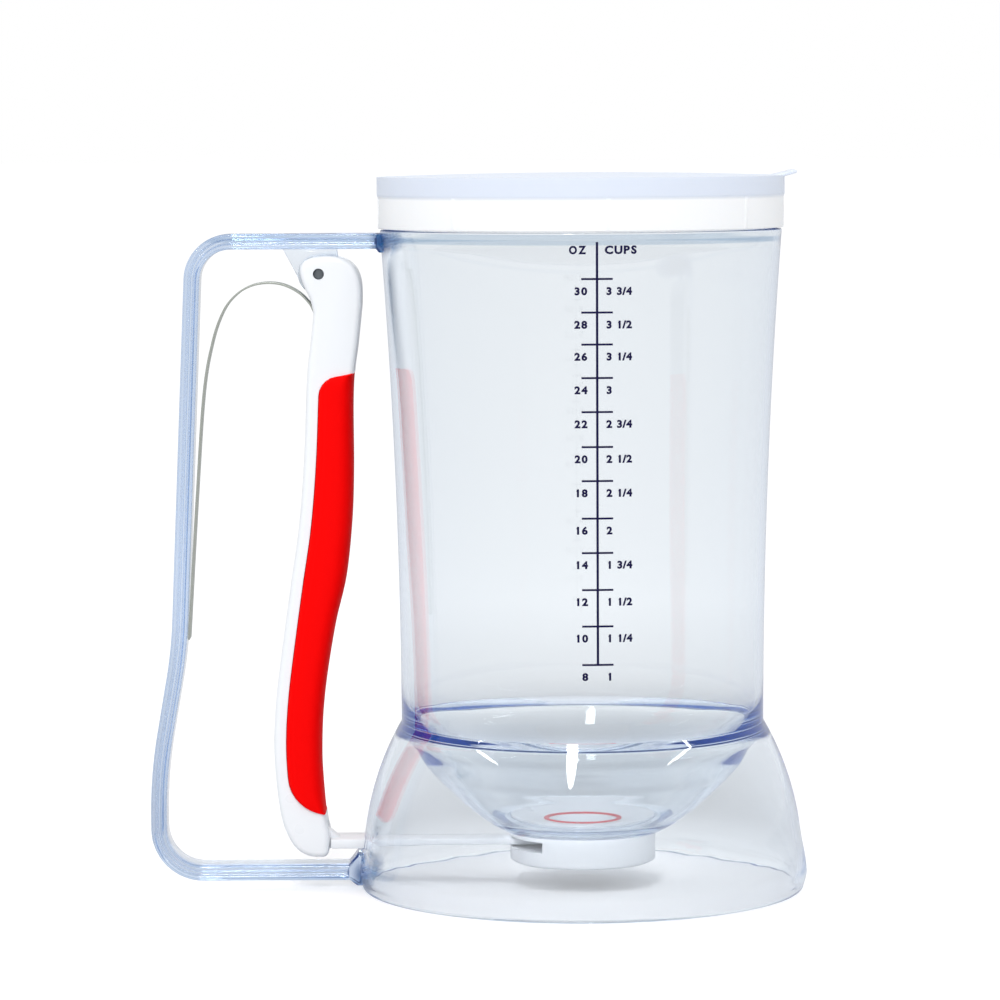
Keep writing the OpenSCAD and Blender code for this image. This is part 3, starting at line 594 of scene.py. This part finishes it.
def makeLid():
    s, steps = lidSizes, lidSizes["domeSteps"]
    dome = [(s["bandR"] * k / steps, s["edgeZ"] + s["dome"] * (1 - (k / steps) ** 2))
            for k in range(steps - 1, -1, -1)]
    outline = roundCorners([
        (s["inR"], s["ceilingZ"]), (s["inR"], s["lowZ"], s["lipRound"]),
        (s["outR"], s["lowZ"], s["lipRound"]),
        (s["outR"], s["bandZ"] - s["bandUnder"], s["bandRound"]),
        (s["bandR"], s["bandZ"] + s["bandOver"], s["bandRound"]),
        (s["bandR"], s["edgeZ"])], closed=False)
    lid = turnProfile("pushLid", [(0, s["ceilingZ"]), *outline, *dome], closed=False)
    for k in range(s["ribs"]):
        rib = addBlock("rib", (s["inR"] + s["ribIn"], -s["ribW"] / 2, s["lowZ"] + s["ribLow"]),
                       (s["outR"] + s["ribOut"], s["ribW"] / 2, s["bandZ"] + s["ribHigh"]))
        softenEdges(rib, s["ribEdge"])
        turn = math.radians(s["ribTurn"] + 360 / s["ribs"] * k)
        rib.data.transform(Matrix.Rotation(turn, 4, "Z"))
        combine(lid, rib)
    rootX, tipX = s["outR"] - s["tabIn"], s["bandR"] + s["tabOut"]
    tipZ = s["edgeZ"] + s["tabRise"]
    tab = cutSlab("tab", roundCorners([
        (rootX, s["edgeZ"] - s["tabT"]), (tipX, tipZ - s["tabT"], s["tabRound"]),
        (tipX, tipZ, s["tabRound"]), (rootX, s["edgeZ"] + s["tabLap"])]),
        s["tabW"], rim=s["tabRim"], rimSteps=2)
    combine(lid, tab)
    return settle(lid, "lid", whitePe, ("lid",))


makeLid()
print("lid made")

# Trigger: white lever with a soft red grip

trigger = {
    "rim": 1.5, "gripLow": 0.053, "gripTop": 0.827, "spine": 3.1, "gripLowR": 9, "gripTopR": 5,
    "slant": 0.7, "gripT": 3.2, "gripIn": 0.6, "gripW": 16, "gripEnd": 4, "gripSteps": 48,
    "coreW": 11, "coreIn": 1.5, "coreSteps": 40,
    "lugGap": 4.6, "lugReach": 6.5, "lugBack": 10.4, "lugHigh": 8.3,
    "forkGap": 5.6, "forkTop": 17.3, "forkBack": -85, "forkFront": -55,
    "pinHole": 1.42, "linkHole": 1.52, "linkBlind": 2, "linkCut": 13, "beyond": 20,
    "heelX": 1.35, "heelR": 1.7, "heelFront": 0.2, "heelBack": 1.5, "heelH": 20,
    # edges from the pivot: shares of the depth, and of the height from link pin to pivot
    "depth": 15.6,
    "front": [(0.077, -0.02), (0.103, 0.014), (0.051, 0.044), (0, 0.11), (-0.019, 0.16),
              (0.006, 0.23), (0.083, 0.3), (0.231, 0.39), (0.41, 0.47), (0.513, 0.57),
              (0.545, 0.66), (0.545, 0.77), (0.571, 0.83), (0.628, 0.875)],
    "back": [(0.058, -0.023), (-0.109, -0.023), (-0.308, -0.018), (-0.506, 0), (-0.679, 0.043),
             (-0.769, 0.11), (-0.801, 0.18), (-0.756, 0.26), (-0.654, 0.345), (-0.5, 0.46),
             (-0.359, 0.56), (-0.263, 0.68), (-0.205, 0.82), (-0.141, 0.88)],
    # head round the pivot: shares of the depth both ways
    "head": [(0.699, -0.519), (0.699, -0.224), (0.66, -0.019), (0.571, 0.135), (0.41, 0.244),
             (0.205, 0.288), (-0.013, 0.282), (-0.205, 0.231), (-0.301, 0.103), (-0.288, -0.064),
             (-0.237, -0.218), (-0.141, -0.423), (-0.09, -0.635)],
}

# Leaf spring between the trigger's head and the hand bar
spring = {
    "thick": 0.5, "wide": 7, "edge": 0.12, "seat": 1.6, "lean": -28,
    "seatT": 0.7, "seatW": 7.2, "seatLow": -0.1, "seatHigh": 3.2,
    # from the pivot: where it leaves the head, then its arch
    "out": (-1.5, -9.5),
    "arch": [(-2.6, -7.5), (-5.2, -4.9), (-9.1, -2.9), (-13.4, -2.35), (-17.8, -3.2),
             (-21.7, -5.7), (-24.8, -9.9)],
    # share of the trigger's height, and distance from the hand bar
    "tail": [(0.88, 3.8), (0.79, 2), (0.6, 1.1), (0.36, 0.35)],
}


def edgeLine(points, end):
    # edge of the trigger, ending on the head
    return splinePoints([(places["pivotX"] + a * trigger["depth"], upTrigger(b))
                         for a, b in points] + [end])


headPoints = [(places["pivotX"] + a * trigger["depth"], places["pivotZ"] + b * trigger["depth"])
              for a, b in trigger["head"]]
headEdge = splinePoints(headPoints)
frontEdge = edgeLine(trigger["front"], headPoints[0])
backEdge = edgeLine(trigger["back"], headPoints[-1])
gripLow, gripTop = upTrigger(trigger["gripLow"]), upTrigger(trigger["gripTop"])


def edgeAt(edge, z):
    # x of an edge at height z
    for a, b in zip(edge, edge[1:]):
        if min(a.y, b.y) <= z <= max(a.y, b.y) and a.y != b.y:
            return a.x + (b.x - a.x) * (z - a.y) / (b.y - a.y)
    return min(edge, key=lambda p: abs(p.y - z)).x


def gripRear(z):
    # back line of the grip, with round lower and upper corners and a slanted top edge
    topR, lowR = trigger["gripTopR"], trigger["gripLowR"]
    slantZ = gripTop - trigger["slant"]
    over = min(max(z - (slantZ - topR), 0), topR)
    under = min(max(gripLow + lowR - z, 0), lowR)
    rear = (edgeAt(backEdge, z) + trigger["spine"] + topR - math.sqrt(topR ** 2 - over ** 2)
            + lowR - math.sqrt(lowR ** 2 - under ** 2))
    front = edgeAt(frontEdge, z) - trigger["gripIn"]
    return min(front, rear + max(z - slantZ, 0) / trigger["slant"] * max(front - rear, 0))


def gripHeight(share):
    # heights bunch up towards both ends of the grip
    return gripLow + (gripTop - gripLow) * (1 - math.cos(math.pi * share)) / 2


def coreOutline():
    # stiff core of the lever inside the grip
    thick = trigger["gripT"]
    low, tall = gripLow + 2 * thick, gripTop - gripLow - 3 * thick
    levels = [low + tall * k / trigger["coreSteps"] for k in range(trigger["coreSteps"] + 1)]
    return ([(edgeAt(frontEdge, z) - thick, z) for z in levels]
            + [(edgeAt(backEdge, z) + trigger["spine"] - trigger["coreIn"], z)
               for z in reversed(levels)])


def springRoot():
    # where the spring leaves the trigger's head, and its end inside it
    lean = math.radians(spring["lean"])
    out = Vector((places["pivotX"] + spring["out"][0], places["pivotZ"] + spring["out"][1]))
    return out, out - spring["seat"] * Vector((math.sin(lean), math.cos(lean)))


def makeLever():
    t, x, z = trigger, places["pivotX"], places["pivotZ"]
    # the round heel takes the place of the edges' lowest points
    heelZ = min(p.y for p in backEdge)
    front = [p for p in frontEdge if p.y > heelZ + t["heelR"] + t["heelFront"]]
    back = [p for p in backEdge if p.x < x - t["heelBack"] or p.y > heelZ + t["heelH"]]
    side = roundCorners([(x + t["heelX"], heelZ, t["heelR"]), *front, *headEdge[1:-1],
                         *reversed(back)], steps=8)
    lever = cutSlab("triggerLever", side, places["triggerW"], rim=t["rim"], rimSteps=5)
    carve(lever, addPin("hole", x, z, t["pinHole"], t["beyond"]))
    levels = [gripHeight(k / t["gripSteps"]) for k in range(t["gripSteps"] + 1)]
    room = [(x + t["beyond"], gripLow), *[(gripRear(level), level) for level in levels],
            (x + t["beyond"], gripTop)]
    carve(lever, cutSlab("gripRoom", room, t["beyond"]))
    combine(lever, cutSlab("core", coreOutline(), t["coreW"]))
    carve(lever, addBlock("lugGap", (x - t["lugBack"], -t["lugGap"] / 2, z - t["lugReach"]),
                          (x + t["lugReach"], t["lugGap"] / 2, z + t["lugHigh"])))
    carve(lever, addBlock("forkGap", (t["forkBack"], -t["forkGap"] / 2, 0),
                          (t["forkFront"], t["forkGap"] / 2, t["forkTop"])))
    # the link pin's hole is blind in the near cheek
    blind = (t["linkCut"] - places["triggerW"]) / 2 + t["linkBlind"]
    carve(lever, addPin("hole", places["linkX"], places["linkZ"], t["linkHole"], t["linkCut"],
                        blind))
    halfT, halfW, root = spring["seatT"] / 2, spring["seatW"] / 2, springRoot()[1]
    seat = addBlock("springSeat", (-halfT, -halfW, spring["seatLow"]),
                    (halfT, halfW, spring["seatHigh"]))
    seat.data.transform(Matrix.Translation(Vector((root.x, 0, root.y)) * mm)
                        @ Matrix.Rotation(math.radians(spring["lean"]), 4, "Y"))
    carve(lever, seat)
    # a sliver left open beside the pivot hole is closed
    editAll(lever)
    bpy.ops.mesh.select_all(action="DESELECT")
    bpy.ops.mesh.select_non_manifold()
    bpy.ops.mesh.edge_face_add()
    return settle(lever, "trigger", whiteAbs, ("trigger_lever",))


def swell(part, power):
    # turns a round section into a squarer one
    return math.copysign(abs(part) ** (2 / power), part)


def makeGrip():
    t = trigger
    roundFront, squareRear = 2.8, 9
    deselect()
    bpy.ops.mesh.primitive_uv_sphere_add(segments=64, ring_count=72, radius=1)
    grip = nameNew("triggerGrip")
    for spot in grip.data.vertices:
        share = math.acos(max(-1, min(1, -spot.co.z))) / math.pi
        z = gripHeight(share)
        front, rear = edgeAt(frontEdge, z), gripRear(z)
        nearEnd = min(z - gripLow, gripTop - z)
        halfW = t["gripW"] / 2 - 1 + math.sqrt(max(1 - max(1 - nearEnd / t["gripEnd"], 0) ** 2, 0))
        turn = math.atan2(spot.co.y, spot.co.x)
        c, s = math.cos(turn), math.sin(turn)
        power = roundFront if c > 0 else squareRear
        if abs(spot.co.x) + abs(spot.co.y) < tiny:
            c = s = 0
        spot.co = Vector(((front + rear) / 2 + (front - rear) / 2 * swell(c, power),
                          halfW * swell(s, power), z)) * mm
    carve(grip, cutSlab("core", coreOutline(), t["coreW"]))
    return settle(grip, "trigger", redTpe, ("trigger_grip",))


makeLever()
makeGrip()
print("trigger made")


def barInX(z):
    # inner face of the hand bar
    (topX, topZ, _), (bendX, bendZ, _) = handle["corners"][:2]
    return topX + (bendX - topX) * (topZ - z) / (topZ - bendZ) + handle["thick"] / 2


def makeSpring():
    x, z = places["pivotX"], places["pivotZ"]
    out, root = springRoot()
    line = [tuple(root), tuple(out)] + [(x + a, z + b) for a, b in spring["arch"]]
    line += [(barInX(upTrigger(share)) + gap, upTrigger(share)) for share, gap in spring["tail"]]
    strip = toMesh(drawLine("leafSpring", splinePoints(line, steps=8), False))
    editAll(strip)
    bpy.ops.transform.translate(value=(0, -spring["wide"] / 2 * mm, 0))
    bpy.ops.mesh.extrude_region_move(TRANSFORM_OT_translate={"value": (0, spring["wide"] * mm, 0)})
    endEdit()
    thick = strip.modifiers.new("thick", "SOLIDIFY")
    thick.thickness, thick.offset = spring["thick"] * mm, 0
    bpy.ops.object.modifier_apply(modifier="thick")
    softenEdges(strip, spring["edge"], angle=60)
    finishSkin(strip, springSteel)
    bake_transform(strip)
    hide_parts("leaf_spring")


makeSpring()

# Pins

pins = {
    "pivotPin": {"x": places["pivotX"], "z": places["pivotZ"], "r": places["pivotR"],
                 "near": -5.8, "far": 5.8, "standsFor": "pivot_pin"},
    "linkPin": {"x": places["linkX"], "z": places["linkZ"], "r": places["linkR"],
                "near": -4.9, "far": 5.8, "standsFor": "link_pin"},
}
for name, p in pins.items():
    pin = addPin(name, p["x"], p["z"], p["r"], p["far"] - p["near"], (p["near"] + p["far"]) / 2)
    softenEdges(pin, 0.3)
    settle(pin, "trigger", pinSteel, (p["standsFor"],))
print("spring and pins made")

# Shutter: gate plate, arm and eye

shutter = {
    "z": 12, "plateT": 2.2, "plateW": 30.4, "front": 9.5, "back": -9.8, "corner": 5, "edge": 0.25,
    "armT": 1.6, "armW": 8, "armLap": 1, "armEdge": 0.2, "skirtX": -54.6,
    "outT": 2.4, "outW": 12, "outLap": 0.5, "outEdge": 0.35,
    "eyeFront": -64.7, "eyeHalf": 2.95, "eyeLow": 9.05, "eyeHigh": 16.27, "eyeW": 5, "eyeRim": 0.3,
    # front of the eye above and behind eyeFront, from the arm up
    "ramp": [(0, -1.2), (1.7, 1.15), (0.5, 2.05), (-0.4, 2.9)],
    "slotR": 1.55, "slotRise": 1.32, "slotCut": 8,
}


def makeShutter():
    s, z, x = shutter, shutter["z"], places["linkX"]
    deselect()
    w = s["plateW"] / 2
    outline = roundCorners([(s["back"], -w), (s["front"], -w, s["corner"]),
                            (s["front"], w, s["corner"]), (s["back"], w)], steps=12)
    plate = toMesh(drawLine("shutterArm", [(a, b, z - s["plateT"] / 2) for a, b in outline]))
    editAll(plate)
    bpy.ops.mesh.edge_face_add()
    bpy.ops.mesh.extrude_region_move(TRANSFORM_OT_translate={"value": (0, 0, s["plateT"] * mm)})
    endEdit()
    softenEdges(plate, s["edge"])
    for name, back, front, wide, tall, edge in (
            ("arm", s["skirtX"] - s["armLap"], s["back"] + s["armLap"], s["armW"], s["armT"],
             s["armEdge"]),
            ("wide", s["eyeFront"] - s["outLap"], s["skirtX"], s["outW"], s["outT"], s["outEdge"])):
        length = addBlock(name, (back, -wide / 2, z - tall / 2), (front, wide / 2, z + tall / 2))
        combine(plate, softenEdges(length, edge))
    left, right, low, high = x - s["eyeHalf"], x + s["eyeHalf"], s["eyeLow"], s["eyeHigh"]
    ramp = [(s["eyeFront"] + a, z + b) for a, b in s["ramp"]]
    combine(plate, cutSlab("eye", roundCorners([
        (left, low, 1.2), (right, low, 1), *ramp, (right, high, 0.5), (left, high, 1.2)]),
        s["eyeW"], rim=s["eyeRim"]))
    # the upright slot that the link pin works in
    slotR, slotLow, halfCut = s["slotR"], places["linkZ"], s["slotCut"] / 2
    for rise in (0, s["slotRise"]):
        carve(plate, addPin("hole", x, slotLow + rise, slotR, s["slotCut"]))
    carve(plate, addBlock("slot", (x - slotR, -halfCut, slotLow),
                          (x + slotR, halfCut, slotLow + s["slotRise"])))
    return settle(plate, "shutter", whiteAbs, ("shutter",))


makeShutter()
print("shutter made")

# Valve drum, cover, seal and O-ring

valve = {
    "r": 18.8, "lowZ": 7, "topZ": 19, "rim": 1.6, "dish": 1.4, "outletR": 7.5,
    "sealInR": 8.9, "sealR": 10.1, "sealRoot": 1.2, "sealLip": 0.4, "sealRound": 0.25,
    "channelBack": -22, "channelFront": 9.8, "channelW": 31, "channelLow": 10.6,
    "channelHigh": 13.4, "channelCut": 9,
    "ringZ": 16.7, "ringD": 1.6, "ringEase": 0.01, "grooveR": 17.3, "grooveRound": 0.1,
}


def makeValve():
    v = valve
    floorZ = v["topZ"] - v["dish"]
    rootZ = floorZ - v["sealRoot"]
    grooveLow, grooveHigh = v["ringZ"] - v["ringD"] / 2, v["ringZ"] + v["ringD"] / 2
    soft = v["grooveRound"]
    drum = turnProfile("valveDrum", roundCorners([
        (v["outletR"], v["channelLow"]), (v["r"], v["channelLow"]), (v["r"], grooveLow, soft),
        (v["grooveR"], grooveLow, soft), (v["grooveR"], grooveHigh, soft),
        (v["r"], grooveHigh, soft), (v["r"], v["topZ"], 0.45),
        (v["r"] - v["rim"], v["topZ"], 0.4), (v["sealR"], floorZ),
        (v["sealR"], rootZ), (v["sealInR"], rootZ), (v["sealInR"], floorZ, 0.15),
        (v["outletR"], floorZ, 0.5)]))
    halfW = v["channelW"] / 2
    carve(drum, addBlock("channel", (v["channelBack"], -halfW, v["channelCut"]),
                         (v["channelFront"], halfW, v["channelHigh"])))
    settle(drum, "vessel", whiteAbs, ("valve_housing",))
    cover = turnProfile("valveCover", roundCorners([
        (v["outletR"], v["lowZ"], 0.4), (v["r"], v["lowZ"], 0.9), (v["r"], v["channelLow"]),
        (v["outletR"], v["channelLow"])]))
    settle(cover, "vessel", whiteAbs, ("valve_cover",))
    lipZ, bend = floorZ + v["sealLip"], v["sealRound"]
    seal = turnProfile("outletSeal", roundCorners([
        (v["sealInR"], rootZ), (v["sealR"], rootZ), (v["sealR"], lipZ, bend),
        (v["sealInR"], lipZ, bend)]), steps=128)
    settle(seal, "vessel", redSilicone, ("outlet_seal",))
    deselect()
    bpy.ops.mesh.primitive_torus_add(
        location=(0, 0, v["ringZ"] * mm), major_segments=128, minor_segments=16,
        major_radius=(v["grooveR"] + v["ringD"] / 2) * mm,
        minor_radius=(v["ringD"] / 2 - v["ringEase"]) * mm)
    settle(nameNew("valveRing"), "vessel", plainSilicone, ("valve_o_ring",))


makeValve()
print("valve made")

# Printed volume scale

scale = {
    "lineX": 3.05, "lineW": 0.6, "lineTop": 168, "tickW": 0.5, "tickHalf": 3.9, "proud": 0.03,
    "bendStep": 0.6, "riseStep": 1.5,
    "numberH": 1.84, "drop": 2.02, "ounceX": -2.3, "cupX": 2.1,
    "headH": 1.96, "headZ": 167.1, "ounceHeadX": -2.5, "cupHeadX": 1.75, "ounceStretch": 0.9,
    # lettering, in shares of its height where not in mm
    "bold": 0.125, "fontSize": 1.37, "stretch": 1.1, "pitch": 0.94, "slash": 0.38, "space": 0.46,
    "gap": 0.16, "flag": 0.33, "stem": 0.06,
    "ticks": [158.92, 150.67, 142.78, 134.51, 126.09, 117.42, 108.98, 99.66, 91.08, 81.86,
              72.76, 63.15],
    "ounces": [30, 28, 26, 24, 22, 20, 18, 16, 14, 12, 10, 8],
    "cups": ["3 3/4", "3 1/2", "3 1/4", "3", "2 3/4", "2 1/2", "2 1/4", "2", "1 3/4", "1 1/2",
             "1 1/4", "1"],
}


def writeText(text, x, z, height, align, stretch=scale["stretch"]):
    # flat lettering at x round the wall and z up it, its tops at z; figures share one pitch
    s, signs, pen = scale, [], 0
    for sign in str(text):
        if sign == " ":
            pen += height * s["space"]
            continue
        deselect()
        bpy.ops.object.text_add(rotation=(math.pi / 2, 0, 0))
        word = bpy.context.object
        word.data.body = sign
        word.data.size = height * mm * s["fontSize"]
        word.data.resolution_u = 3
        word.data.offset = s["bold"] * mm
        bpy.ops.object.convert(target="MESH")
        bpy.ops.object.transform_apply()
        low, high = min(v.co.x for v in word.data.vertices), max(v.co.x for v in word.data.vertices)
        if sign == "1":
            low = high - s["flag"] * height * mm
            flag = addFlag(low, high - s["stem"] * height * mm, height)
            joinAll([word, flag])
        word.data.transform(Matrix.Scale(stretch, 4, (1, 0, 0)))
        low, high = low * stretch / mm, high * stretch / mm
        cell = high - low + height * s["gap"]
        if not sign.isalpha():
            cell = height * s["slash" if sign == "/" else "pitch"]
        word.data.transform(Matrix.Translation(((pen + (cell - low - high) / 2) * mm, 0, 0)))
        pen += cell
        signs.append(word)
    start = x - pen if align == "RIGHT" else x
    for word in signs:
        word.data.transform(Matrix.Translation((start * mm, 0, (z - height) * mm)))
    return signs


def addFlag(x0, x1, height):
    # the short stroke that runs up to the top of a figure one
    tops, bottoms = (0.82, 1.01), (0.66, 0.78)  # left and right end, in shares of the height
    deselect()
    bpy.ops.mesh.primitive_plane_add(size=1, rotation=(math.pi / 2, 0, 0))
    flag = bpy.context.object
    bpy.ops.object.transform_apply()
    for spot in flag.data.vertices:
        right = spot.co.x > 0
        share = (tops if spot.co.z > 0 else bottoms)[right]
        spot.co = (x1 if right else x0, 0, height * mm * share)
    return flag


def addBar(x0, x1, z0, z1):
    # a printed line as a grid fine enough to bend round the wall
    deselect()
    bpy.ops.mesh.primitive_grid_add(
        x_subdivisions=max(2, int(abs(x1 - x0) / scale["bendStep"])),
        y_subdivisions=max(1, int(abs(z1 - z0) / scale["riseStep"])),
        size=1, location=((x0 + x1) / 2 * mm, 0, (z0 + z1) / 2 * mm), rotation=(math.pi / 2, 0, 0))
    bpy.context.object.scale = ((x1 - x0) * mm, (z1 - z0) * mm, 1)
    bpy.ops.object.transform_apply()
    return bpy.context.object


def makeScale():
    s, x = scale, scale["lineX"]
    marks = [addBar(x - s["lineW"] / 2, x + s["lineW"] / 2, s["ticks"][-1], s["lineTop"])]
    for z, ounce, cup in zip(s["ticks"], s["ounces"], s["cups"]):
        marks.append(addBar(x - s["tickHalf"], x + s["tickHalf"],
                            z - s["tickW"] / 2, z + s["tickW"] / 2))
        marks += writeText(ounce, x + s["ounceX"], z - s["drop"], s["numberH"], "RIGHT")
        marks += writeText(cup, x + s["cupX"], z - s["drop"], s["numberH"], "LEFT")
    marks += writeText("OZ", x + s["ounceHeadX"], s["headZ"], s["headH"], "RIGHT",
                       s["ounceStretch"])
    marks += writeText("CUPS", x + s["cupHeadX"], s["headZ"], s["headH"], "LEFT")
    printed = joinAll(marks)
    printed.name = printed.data.name = "volumeScale"
    for spot in printed.data.vertices:
        across, z = spot.co.x / mm, spot.co.z / mm
        radius = containerR(z) + s["proud"]
        turn = across / radius
        spot.co = Vector((radius * math.sin(turn), -radius * math.cos(turn), z)) * mm
    return settle(printed, "vessel", printInk)


makeScale()
print("scale made")

# Floor, world, lights and camera, in metres

studio = {
    "floorSize": 60, "floorZ": -0.0001, "floorGlow": 0.4, "mirrored": 0.85, "fill": 0.94,
    "bounces": 128,
}
white = (1, 1, 1, 1)


def makeFloor():
    s = studio
    deselect()
    bpy.ops.mesh.primitive_plane_add(size=s["floorSize"], location=(0, 0, s["floorZ"]))
    floor = bpy.context.object
    floor.name = "floor"
    material, tree = newMaterial("white sweep")
    paper = addNode(tree, "BsdfDiffuse", {"Color": toLinear("#DCDCDE")})
    light = addNode(tree, "LightPath")
    # the sweep glows a little, so that it stays white around the piece and keeps its shadow;
    # through clear plastic it glows under the vessel, where the plastic gathers the light, and
    # far off
    where = addNode(tree, "TexCoord")
    reach = addNode(tree, "VectorMath", {"operation": "LENGTH"}, {0: where.outputs["Object"]})
    near = addNode(tree, "MapRange", {"From Min": 0.13, "From Max": 0.06, "To Max": 0.24},
                   {"Value": reach.outputs["Value"]})
    far = addNode(tree, "MapRange", {"From Min": 0.12, "From Max": 0.7, "To Max": 0.3},
                  {"Value": reach.outputs["Value"]})
    spread = addNode(tree, "Math", {"operation": "ADD"}, {0: near, 1: far})
    through = addNode(tree, "Math", {"operation": "MULTIPLY"},
                      {0: spread, 1: light.outputs["Is Transmission Ray"]})
    level = addNode(tree, "Math", {"operation": "MULTIPLY_ADD", 1: s["floorGlow"]},
                    {0: light.outputs["Is Camera Ray"], 2: through})
    glow = addNode(tree, "Emission", {"Color": white}, {"Strength": level})
    both = addNode(tree, "AddShader", {}, {0: paper, 1: glow})
    addNode(tree, "OutputMaterial", {}, {"Surface": both})
    floor.data.materials.append(material)


def makeWorld():
    s = studio
    world = bpy.data.worlds.new("studio")
    bpy.context.scene.world = world
    world.use_nodes = True
    tree = world.node_tree
    tree.nodes.clear()
    light = addNode(tree, "LightPath")
    where = addNode(tree, "TexCoord")
    split = addNode(tree, "SeparateXYZ", {}, {"Vector": where.outputs["Generated"]})
    # the room: white walls under a dim blue ceiling, which only the clear and shiny pieces show
    ceiling = addNode(tree, "MapRange", {"From Min": 0.5, "From Max": 0.85},
                      {"Value": split.outputs["Z"]})
    room = addNode(tree, "Mix", {"data_type": "RGBA", 6: white, 7: toLinear("#8CA2BE")},
                   {0: ceiling})
    mirrored = addNode(tree, "Math", {"operation": "MULTIPLY", 1: s["mirrored"]},
                       {0: light.outputs["Is Glossy Ray"]})
    seen = addNode(tree, "Math", {"operation": "MAXIMUM"},
                   {0: mirrored, 1: light.outputs["Is Transmission Ray"]})
    fill = addNode(tree, "Math", {"operation": "MULTIPLY", 1: s["fill"]},
                   {0: light.outputs["Is Diffuse Ray"]})
    strength = addNode(tree, "Math", {"operation": "MAXIMUM"}, {0: seen, 1: fill})
    # what lights the pieces is a little cooler from the sides than from above
    soft = addNode(tree, "Mix",
                   {"data_type": "RGBA", 6: toLinear("#F2F8FF"), 7: toLinear("#FFFDF9")},
                   {0: split.outputs["Z"]})
    matt = addNode(tree, "Math", {"operation": "MINIMUM", 1: 1},
                   {0: light.outputs["Diffuse Depth"]})
    colour = addNode(tree, "Mix", {"data_type": "RGBA"},
                     {0: matt, 6: room.outputs[2], 7: soft.outputs[2]})
    around = addNode(tree, "Background", {}, {"Color": colour.outputs[2], "Strength": strength})
    backdrop = addNode(tree, "Background", {"Color": white, "Strength": 1})
    sky = addNode(tree, "MixShader", {},
                  {0: light.outputs["Is Camera Ray"], 1: around, 2: backdrop})
    addNode(tree, "OutputWorld", {}, {"Surface": sky})


lampAim = (0, 0, 0.09)
lamps = {
    # place, width, height and watts
    "front softbox": ((-0.12, -0.8, 1.0), 0.13, 0.8, 4.6),
    "left softbox": ((-1.1, -0.45, 0.9), 0.42, 0.02, 0.5),
    "right softbox": ((1.1, -0.45, 0.9), 0.5, 0.02, 0.5),
}


def addLamps():
    for name, (spot, wide, tall, power) in lamps.items():
        deselect()
        bpy.ops.object.light_add(type="AREA", location=spot)
        lamp = bpy.context.object
        lamp.name = name
        lamp.data.shape, lamp.data.energy = "ELLIPSE", power
        lamp.data.size, lamp.data.size_y = wide, tall
        towards = Vector(lampAim) - Vector(spot)
        lamp.rotation_euler = towards.to_track_quat("-Z", "Y").to_euler()


view = {"place": (-0.02104, -1.1308, 0.1945), "tilt": 85.245, "roll": -0.3, "lens": 158.4,
        "film": 36}


def addCamera():
    deselect()
    bpy.ops.object.camera_add(location=view["place"])
    camera = bpy.context.object
    camera.data.lens, camera.data.sensor_width = view["lens"], view["film"]
    camera.rotation_euler = (Matrix.Rotation(math.radians(view["tilt"]), 3, "X")
                             @ Matrix.Rotation(math.radians(view["roll"]), 3, "Z")).to_euler()
    bpy.context.scene.camera = camera


makeFloor()
makeWorld()
addLamps()
addCamera()
bpy.context.scene.view_settings.view_transform = "Standard"
# light goes round inside the thick clear walls many times before it leaves them
paths = bpy.context.scene.cycles
paths.max_bounces = paths.glossy_bounces = paths.transmission_bounces = studio["bounces"]
print("studio made")
